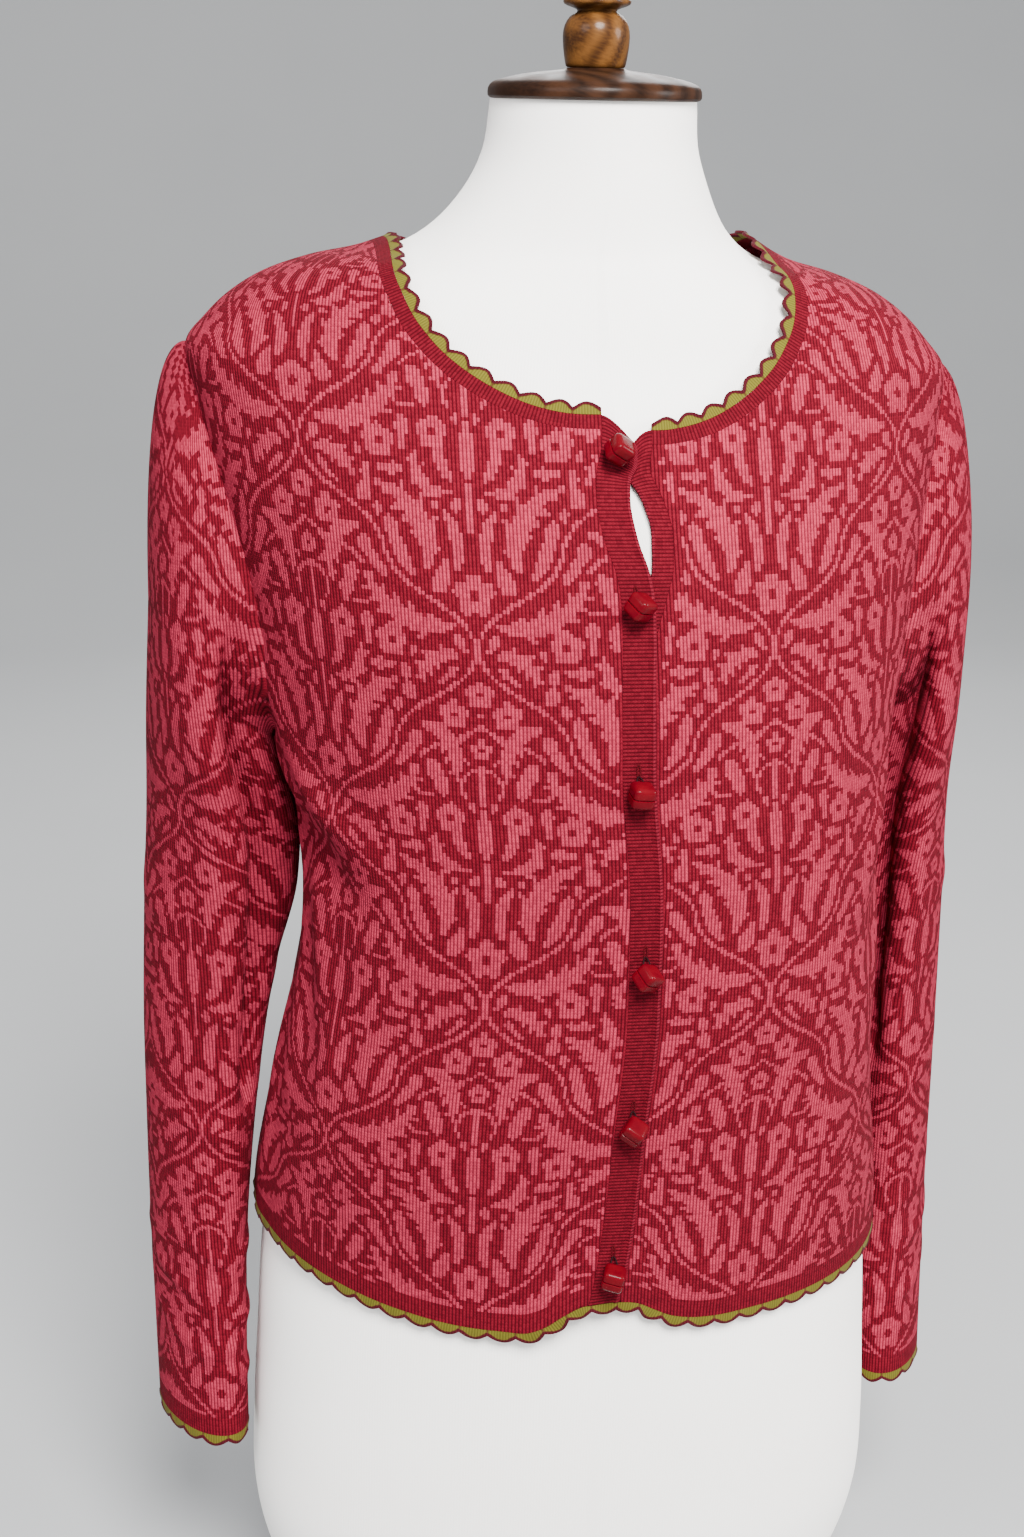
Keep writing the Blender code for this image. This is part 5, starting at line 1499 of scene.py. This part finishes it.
def make_form():
    """The padded shell, closed by its flat base and the top of its neck."""
    rows = np.linspace(0, form.row[-1], FORM_UP + 1)
    turns = np.arange(FORM_AROUND) * 4 / FORM_AROUND
    points = form.point(rows[:, None], turns[None])
    number = np.arange(points.shape[0] * FORM_AROUND).reshape(-1, FORM_AROUND)
    faces = quads(number).tolist() + [number[0].tolist(), number[-1].tolist()]
    stitches = np.stack(np.broadcast_arrays(turns[None] * RIBS, rows[:, None] / RIB), -1)
    return cloth_mesh("form_torso_jersey", points.reshape(-1, 3), faces, stitches.reshape(-1, 2),
                      np.full(len(faces), PLAIN_YARN), cotton_jersey)


form_torso = make_form()

# %% [markdown]
# ## Turned wood
# The neck cap and the finial are turned on a lathe from a dark and a warm hardwood,
# stained and varnished.  A profile of radius and height is followed upward: a circle
# is extruded and scaled ring by ring, which is what turning does to a blank.

# %% Wood
def turned_wood(name, dark, light, ring_scale, roughness, coat):
    """Stained, varnished hardwood: rings 4-8 mm apart round a pith that is off centre."""
    material, tree, shader = new_material(name, Roughness=roughness, Specular_IOR_Level=0.06,
                                          Coat_Weight=coat, Coat_Roughness=0.15)
    own = add(tree, "TexCoord").outputs["Object"]
    laid = add(tree, "Mapping", {"Vector": own, "Location": (0.03, 0.01, 0.0), "Rotation": (0.5, 1.25, 0.3)})
    # bends of 55 mm in the rings
    bend = add(tree, "TexNoise", {"Vector": laid, "Scale": 18.0, "Detail": 3.0})
    shifted = add(tree, "VectorMath", {0: bend.outputs["Color"], "Scale": 0.012}, operation="SCALE")
    bent = add(tree, "VectorMath", {0: laid, 1: shifted}, operation="ADD")
    rings = add(tree, "TexWave", {"Vector": bent, "Scale": ring_scale, "Distortion": 1.5,
                                  "Detail": 3.0, "Detail Scale": 2.0}, wave_type="RINGS")
    # pores 1 mm wide, 17 mm long
    long_ = add(tree, "Mapping", {"Vector": laid, "Scale": (900.0, 900.0, 60.0)})
    grain = add(tree, "TexNoise", {"Vector": long_, "Scale": 1.0, "Detail": 4.0})
    both = add(tree, "Math", {0: rings.outputs["Fac"], 1: 0.6, 2: grain}, operation="MULTIPLY_ADD")
    level = add(tree, "MapRange", {0: both, 1: 0.35, 2: 1.15, 3: 0.0, 4: 1.0})
    colour = add(tree, "Mix", {"Factor": level, "A": shade(dark), "B": shade(light)}, data_type="RGBA")
    wear = add(tree, "TexNoise", {"Vector": own, "Scale": 60.0, "Detail": 5.0})      # worn spots of 17 mm
    rough = add(tree, "MapRange", {0: wear, 1: 0.35, 2: 0.75, 3: roughness - 0.06, 4: roughness + 0.14})
    bump = add(tree, "Bump", {"Strength": 0.12, "Distance": 0.0003, "Height": both})
    feed(tree, shader, {"Base Color": colour.outputs["Result"], "Roughness": rough, "Normal": bump})
    return material


dark_wood = turned_wood("varnished_walnut", "#140a06", "#2e1b10", 26.0, 0.42, 0.03)
warm_wood = turned_wood("varnished_cherry", "#2a170a", "#583819", 34.0, 0.34, 0.10)

# %% Profiles, radius and height, bottom to top
CAP_Z, CAP_TALL = NECK_TOP_Z + SEAM, 0.0150
CAP_PROFILE = (
    (0.0505, 0.0000), (0.0520, 0.0004), (0.0529, 0.0014), (0.0530, 0.0030), (0.0528, 0.0048),
    (0.0520, 0.0064), (0.0505, 0.0078), (0.0470, 0.0091), (0.0430, 0.0102), (0.0370, 0.0115),
    (0.0300, 0.0126), (0.0230, 0.0134), (0.0180, 0.0139), (0.0160, 0.0142), (0.0148, 0.0149),
    (0.0125, CAP_TALL),
)
FINIAL_Z = CAP_Z + CAP_TALL + SEAM
FINIAL_PROFILE = (
    (0.0138, 0.0000), (0.0146, 0.0006), (0.0150, 0.0018), (0.0153, 0.0034), (0.0156, 0.0052),
    (0.0159, 0.0072), (0.0162, 0.0095), (0.0164, 0.0120),
    (0.0165, 0.0147), (0.0163, 0.0172), (0.0157, 0.0197), (0.0146, 0.0220), (0.0130, 0.0240),
    (0.0109, 0.0254), (0.0096, 0.0263), (0.0101, 0.0272), (0.0121, 0.0280), (0.0145, 0.0288),
    (0.0161, 0.0296), (0.0166, 0.0304), (0.0166, 0.0313), (0.0160, 0.0322), (0.0143, 0.0332),
    (0.0127, 0.0345), (0.0121, 0.0362), (0.0112, 0.0380), (0.0092, 0.0397), (0.0063, 0.0411),
    (0.0030, 0.0418),
)


def edit_all():
    """Go into edit mode with the whole mesh selected."""
    bpy.ops.object.mode_set(mode="EDIT")
    bpy.ops.mesh.select_all(action="SELECT")


def finish_solid(thing, sharp, material):
    """Faces outward, out of edit mode, smooth but for edges sharper than this many degrees."""
    bpy.ops.mesh.select_all(action="SELECT")
    bpy.ops.mesh.normals_make_consistent(inside=False)
    bpy.ops.object.mode_set(mode="OBJECT")
    bpy.ops.object.shade_smooth_by_angle(angle=np.radians(sharp))
    thing.data.materials.append(material)


def turned(name, profile, base, material, sides=96):
    """A circle is extruded up the profile, ring by ring, then closed at both ends."""
    bpy.ops.object.select_all(action="DESELECT")
    radius, height = profile[0]
    bpy.ops.mesh.primitive_circle_add(vertices=sides, radius=radius, fill_type="NGON",
                                      location=(0, 0, base + height))
    thing = bpy.context.object
    bpy.ops.object.transform_apply(location=True, rotation=True, scale=True)
    edit_all()
    for next_radius, next_height in profile[1:]:
        bpy.ops.mesh.extrude_region_move(
            TRANSFORM_OT_translate={"value": (0, 0, next_height - height)})
        share = next_radius / radius
        bpy.ops.transform.resize(value=(share, share, 1.0), center_override=(0, 0, base + next_height))
        radius, height = next_radius, next_height
    finish_solid(thing, 35, material)
    thing.name = thing.data.name = name
    print(f"{name}: {len(thing.data.polygons)} faces")
    return thing


neck_cap = turned("neck_cap_walnut", CAP_PROFILE, CAP_Z, dark_wood)
finial = turned("finial_cherry", FINIAL_PROFILE, FINIAL_Z, warm_wood, 72)

# %% [markdown]
# ## Buttons
# Glossy red cast-resin cubes with soft edges and one sawn groove.  One is modelled
# and copied; each copy hangs at its own tilt from a dark loop that comes out of the
# lower end of a short buttonhole slit.

# %% Resin and thread
def two_tone(name, kind, pattern, dark, light, relief=None, settings=None, **sockets):
    """A material that runs between two shades along a pattern, which also stands out a little."""
    material, tree, shader = new_material(name, **sockets)
    own = add(tree, "TexCoord").outputs["Object"]
    drawn = add(tree, kind, {"Vector": own, **pattern}, **(settings or {})).outputs["Fac"]
    colour = add(tree, "Mix", {"Factor": drawn, "A": shade(dark), "B": shade(light)}, data_type="RGBA")
    feed(tree, shader, {"Base Color": colour.outputs["Result"]})
    if relief:
        bump = add(tree, "Bump", {"Strength": relief[0], "Distance": relief[1], "Height": drawn})
        feed(tree, shader, {"Normal": bump})
    return material


def thread_material(name, dark, light, roughness):
    """Twisted thread: fine slanted plies along it, closer than 1 mm."""
    return two_tone(name, "TexWave", {"Scale": 700.0, "Distortion": 2.0}, dark, light, (0.5, 0.0002),
                    {"bands_direction": "DIAGONAL"}, Roughness=roughness, Specular_IOR_Level=0.06)


# cast polyester resin, polished: strong gloss, and cloudy red streaks of 6 mm inside
red_resin = two_tone("polished_red_resin", "TexNoise", {"Scale": 160.0, "Detail": 4.0}, "#38020a", "#5c0610",
                     (0.05, 0.0002), Roughness=0.24, Specular_IOR_Level=0.06, Coat_Weight=0.01,
                     Coat_Roughness=0.08)
loop_thread = thread_material("waxed_dark_cord", "#0c0406", "#22090d", 0.6)
hole_thread = thread_material("overcast_crimson_thread", "#1c0206", "#50060f", 0.85)

# %% One button
BUTTON, BUTTON_ROUND = 0.0112, 0.24      # width; edge rounding as a part of it
GROOVE, GROOVE_DEPTH, GROOVE_FLOOR = 0.0011, 0.0007, 0.35     # the floor is this part as wide
BUTTON_Z = (0.711, 0.6445, 0.558, 0.466, 0.383, 0.301)
BUTTON_TILTS = (         # degrees about X, Z and Y
    (38, 20, 30), (30, 40, 12), (12, 8, 6), (34, 38, 20), (24, -20, 32), (10, -16, 12),
)


def first_button():
    """A cube with rounded edges and a groove sawn round it."""
    bpy.ops.object.select_all(action="DESELECT")
    bpy.ops.mesh.primitive_cube_add(size=BUTTON, location=(0, 0, 0))
    thing = bpy.context.object
    edit_all()
    bpy.ops.mesh.bevel(offset=BUTTON * BUTTON_ROUND, segments=5, profile=0.55, affect="EDGES")
    for level in (-GROOVE / 2, GROOVE / 2):
        bpy.ops.mesh.select_all(action="SELECT")
        bpy.ops.mesh.bisect(plane_co=(0, 0, level), plane_no=(0, 0, 1))
    bpy.ops.mesh.select_all(action="DESELECT")
    bpy.ops.object.mode_set(mode="OBJECT")
    for face in thing.data.polygons:
        face.select = abs(face.center.z) < GROOVE / 4
    bpy.ops.object.mode_set(mode="EDIT")
    bpy.ops.mesh.extrude_region_shrink_fatten(TRANSFORM_OT_shrink_fatten={"value": -GROOVE_DEPTH})
    bpy.ops.transform.resize(value=(1.0, 1.0, GROOVE_FLOOR), center_override=(0, 0, 0))
    finish_solid(thing, 38, red_resin)
    return thing


# %% Copies and threads
def place_copy(pattern, name, matrix):
    """A copy with its own mesh, its place in the mesh."""
    mesh = pattern.data.copy()
    mesh.transform(matrix)
    mesh.name = name
    return in_scene(name, mesh)


ASIDE = np.array([0.31, 0.87, 0.38])      # a way that no thread runs in, to start its round from


def tube(name, path, radius, material, sides=6, closed=False):
    """A thin round thread along a path."""
    path = np.asarray(path, float)
    along = np.roll(path, -1, 0) - np.roll(path, 1, 0) if closed else np.gradient(path, axis=0)
    along = unit(along)
    first = unit(np.cross(along, ASIDE))
    second = np.cross(along, first)
    angle = np.arange(sides) * 2 * np.pi / sides
    ring = (first[:, None] * np.cos(angle)[None, :, None] + second[:, None] * np.sin(angle)[None, :, None])
    points = path[:, None] + ring * radius
    number = np.arange(points.shape[0] * sides).reshape(-1, sides)
    ends = [] if closed else [number[0].tolist(), number[-1].tolist()]
    faces = quads(np.vstack([number, number[:1]]) if closed else number).tolist() + ends
    mesh = bpy.data.meshes.new(name)
    mesh.from_pydata(points.reshape(-1, 3).tolist(), [], faces)
    face_outward(mesh)
    mesh.shade_smooth()
    mesh.materials.append(material)
    return in_scene(name, mesh)


# %% Six buttons, their slits and loops
SLIT, SLIT_OPEN, SLIT_THREAD = 0.0072, 0.0008, 0.00045      # a buttonhole: length, half width, thread
LOOP_THREAD, LOOP_OPEN, LOOP_OUT = 0.00042, 0.0018, 0.0016  # a loop: thread, half width, bow outward
SLIT_RISE = (0.0020, 0.0024, 0.0062, 0.0066, 0.0062, 0.0066)   # its lower end above the button's middle


def band_frame(z):
    """Middle of the right band at a height: place, way out, way up, way across."""
    row = cloth.row_at(z)
    drift = placket(row)[0]
    place, out = worn(row, drift / quarter_at(row), LAYER)
    above = worn(row + 0.002, drift / quarter_at(row), LAYER)[0]
    up_ = unit(above - place)
    return place, out, up_, unit(np.cross(up_, out))


buttons, slits, loops = [], [], []
pattern = first_button()
for number, (z, tilts, rise) in enumerate(zip(BUTTON_Z, BUTTON_TILTS, SLIT_RISE), 1):
    place, out, _, across = band_frame(z)
    tilt, spin, roll = tilts
    turn = Euler(np.radians((tilt, roll, spin)), "XYZ").to_matrix()
    lowest = min(float(np.dot(turn @ v.co, out)) for v in pattern.data.vertices)
    centre = place + out * (1.6 * SEAM - lowest)
    buttons.append(place_copy(pattern, f"button_{number}_resin", Matrix.Translation(Vector(centre))
                              @ turn.to_4x4()))
    low, low_out, low_up, low_across = band_frame(z + rise)
    angle = np.linspace(0, 2 * np.pi, 28, endpoint=False)
    middle = low + low_up * SLIT / 2
    path = (middle + low_up[None] * (np.cos(angle) * SLIT / 2)[:, None]
            + low_across[None] * (np.sin(angle) * SLIT_OPEN)[:, None] + low_out * 0.0002)
    slits.append(tube(f"buttonhole_{number}", path, SLIT_THREAD, hole_thread, closed=True))
    swing = np.linspace(0, np.pi, 18)[:, None]
    start = low + low_up * 0.0012                # just inside the slit's lower end
    top = centre + out * 0.0006                  # within the button
    for hand in (-1, 1):
        bow = (start[None] * ((1 + np.cos(swing)) / 2) + top[None] * ((1 - np.cos(swing)) / 2)
               + (out[None] * LOOP_OUT + hand * across[None] * LOOP_OPEN) * np.sin(swing))
        loops.append(tube(f"button_loop_{number}_{'ab'[hand > 0]}", bow, LOOP_THREAD, loop_thread))
bpy.data.objects.remove(pattern, do_unlink=True)
print(len(buttons), "buttons")

# %% [markdown]
# ## Floor and light
# A plain pale floor that curves up far behind the form, so that no edge shows, one
# large soft light from the front, weaker ones at both sides, and one behind.

# %% Floor
SWEEP_FROM, SWEEP_RADIUS, SWEEP_TOP, SWEEP_HALF = 2.4, 2.0, 6.0, 7.0      # metres
FLOOR_FRONT = -6.0


def make_floor():
    """A flat floor from well before the form, curving up far behind it."""
    angle = np.radians(np.arange(0, 91, 6))
    profile = [(FLOOR_FRONT, 0.0)] + [(SWEEP_FROM + SWEEP_RADIUS * np.sin(a), SWEEP_RADIUS * (1 - np.cos(a)))
                               for a in angle] + [(SWEEP_FROM + SWEEP_RADIUS, SWEEP_TOP)]
    points = [(x, y, z) for y, z in profile for x in (-SWEEP_HALF, SWEEP_HALF)]
    faces = [(2 * k, 2 * k + 1, 2 * k + 3, 2 * k + 2) for k in range(len(profile) - 1)]
    mesh = bpy.data.meshes.new("floor")
    mesh.from_pydata(points, [], faces)
    mesh.shade_smooth()
    floor = in_scene("floor", mesh)
    # brush marks of 0.3 m, hardly seen
    mesh.materials.append(two_tone("matt_pale_paint", "TexNoise", {"Scale": 3.0, "Detail": 4.0},
                                   "#97989a", "#9d9e9f", Roughness=0.9))


make_floor()


# %% Lights
def soft_light(name, place, target, size, power, colour=(1.0, 1.0, 1.0)):
    """A round lamp: its width in metres, its power in watts."""
    lamp = bpy.data.lights.new(name, "AREA")
    lamp.shape, lamp.size, lamp.energy, lamp.color = "DISK", size, power, colour
    thing = in_scene(name, lamp)
    thing.location = place
    thing.rotation_euler = (Vector(target) - Vector(place)).to_track_quat("-Z", "Y").to_euler()


soft_light("key", (0.1, -2.1, 2.6), (0, 0, 0.75), 1.3, 360.0, (1.0, 0.985, 0.965))
soft_light("side", (2.3, -0.8, 1.4), (0, 0, 0.8), 1.0, 75.0, (1.0, 0.99, 0.975))
soft_light("fill", (-2.0, -1.5, 2.2), (0, 0, 0.75), 1.5, 45.0, (0.96, 0.975, 1.0))
soft_light("back", (0.6, 2.0, 1.8), (0, 0, 0.6), 1.4, 40.0)
world = bpy.data.worlds.new("pale_studio")
bpy.context.scene.world = world
world.use_nodes = True
feed(world.node_tree, world.node_tree.nodes["Background"], {"Color": shade("#e4e6e8"), "Strength": 0.9})

# %% [markdown]
# ## What each piece is
# Each knitted piece is a cut sheet that rests on the form; the cut sizes come from
# the flat outlines above.  Every piece rides on the one body, and stands for its
# CAD node.

# %% Pieces on the body
TRIMS = {                # narrow trims go with the panel that carries most of them
    "back": ("neckband", "neck_edging", "hem_edging"),
    "right_sleeve": ("right_cuff_edging",),
    "left_sleeve": ("left_cuff_edging",),
}
NARROW = {name for names in TRIMS.values() for name in names}
for node, (thing, size, flat) in PIECES.items():
    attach(thing, "root")
    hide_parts(node)
    if node not in NARROW:
        width, length = sorted(float(v) for v in size)

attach(form_torso, "root")
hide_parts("form_torso")
for thing, node, slot in [(neck_cap, "neck_cap", "dark_wood"), (finial, "finial", "warm_wood")] + [
        (b, f"button_{n}", "button") for n, b in enumerate(buttons, 1)]:
    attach(thing, "root")
    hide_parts(node)
for thing in slits + loops:
    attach(thing, "root")
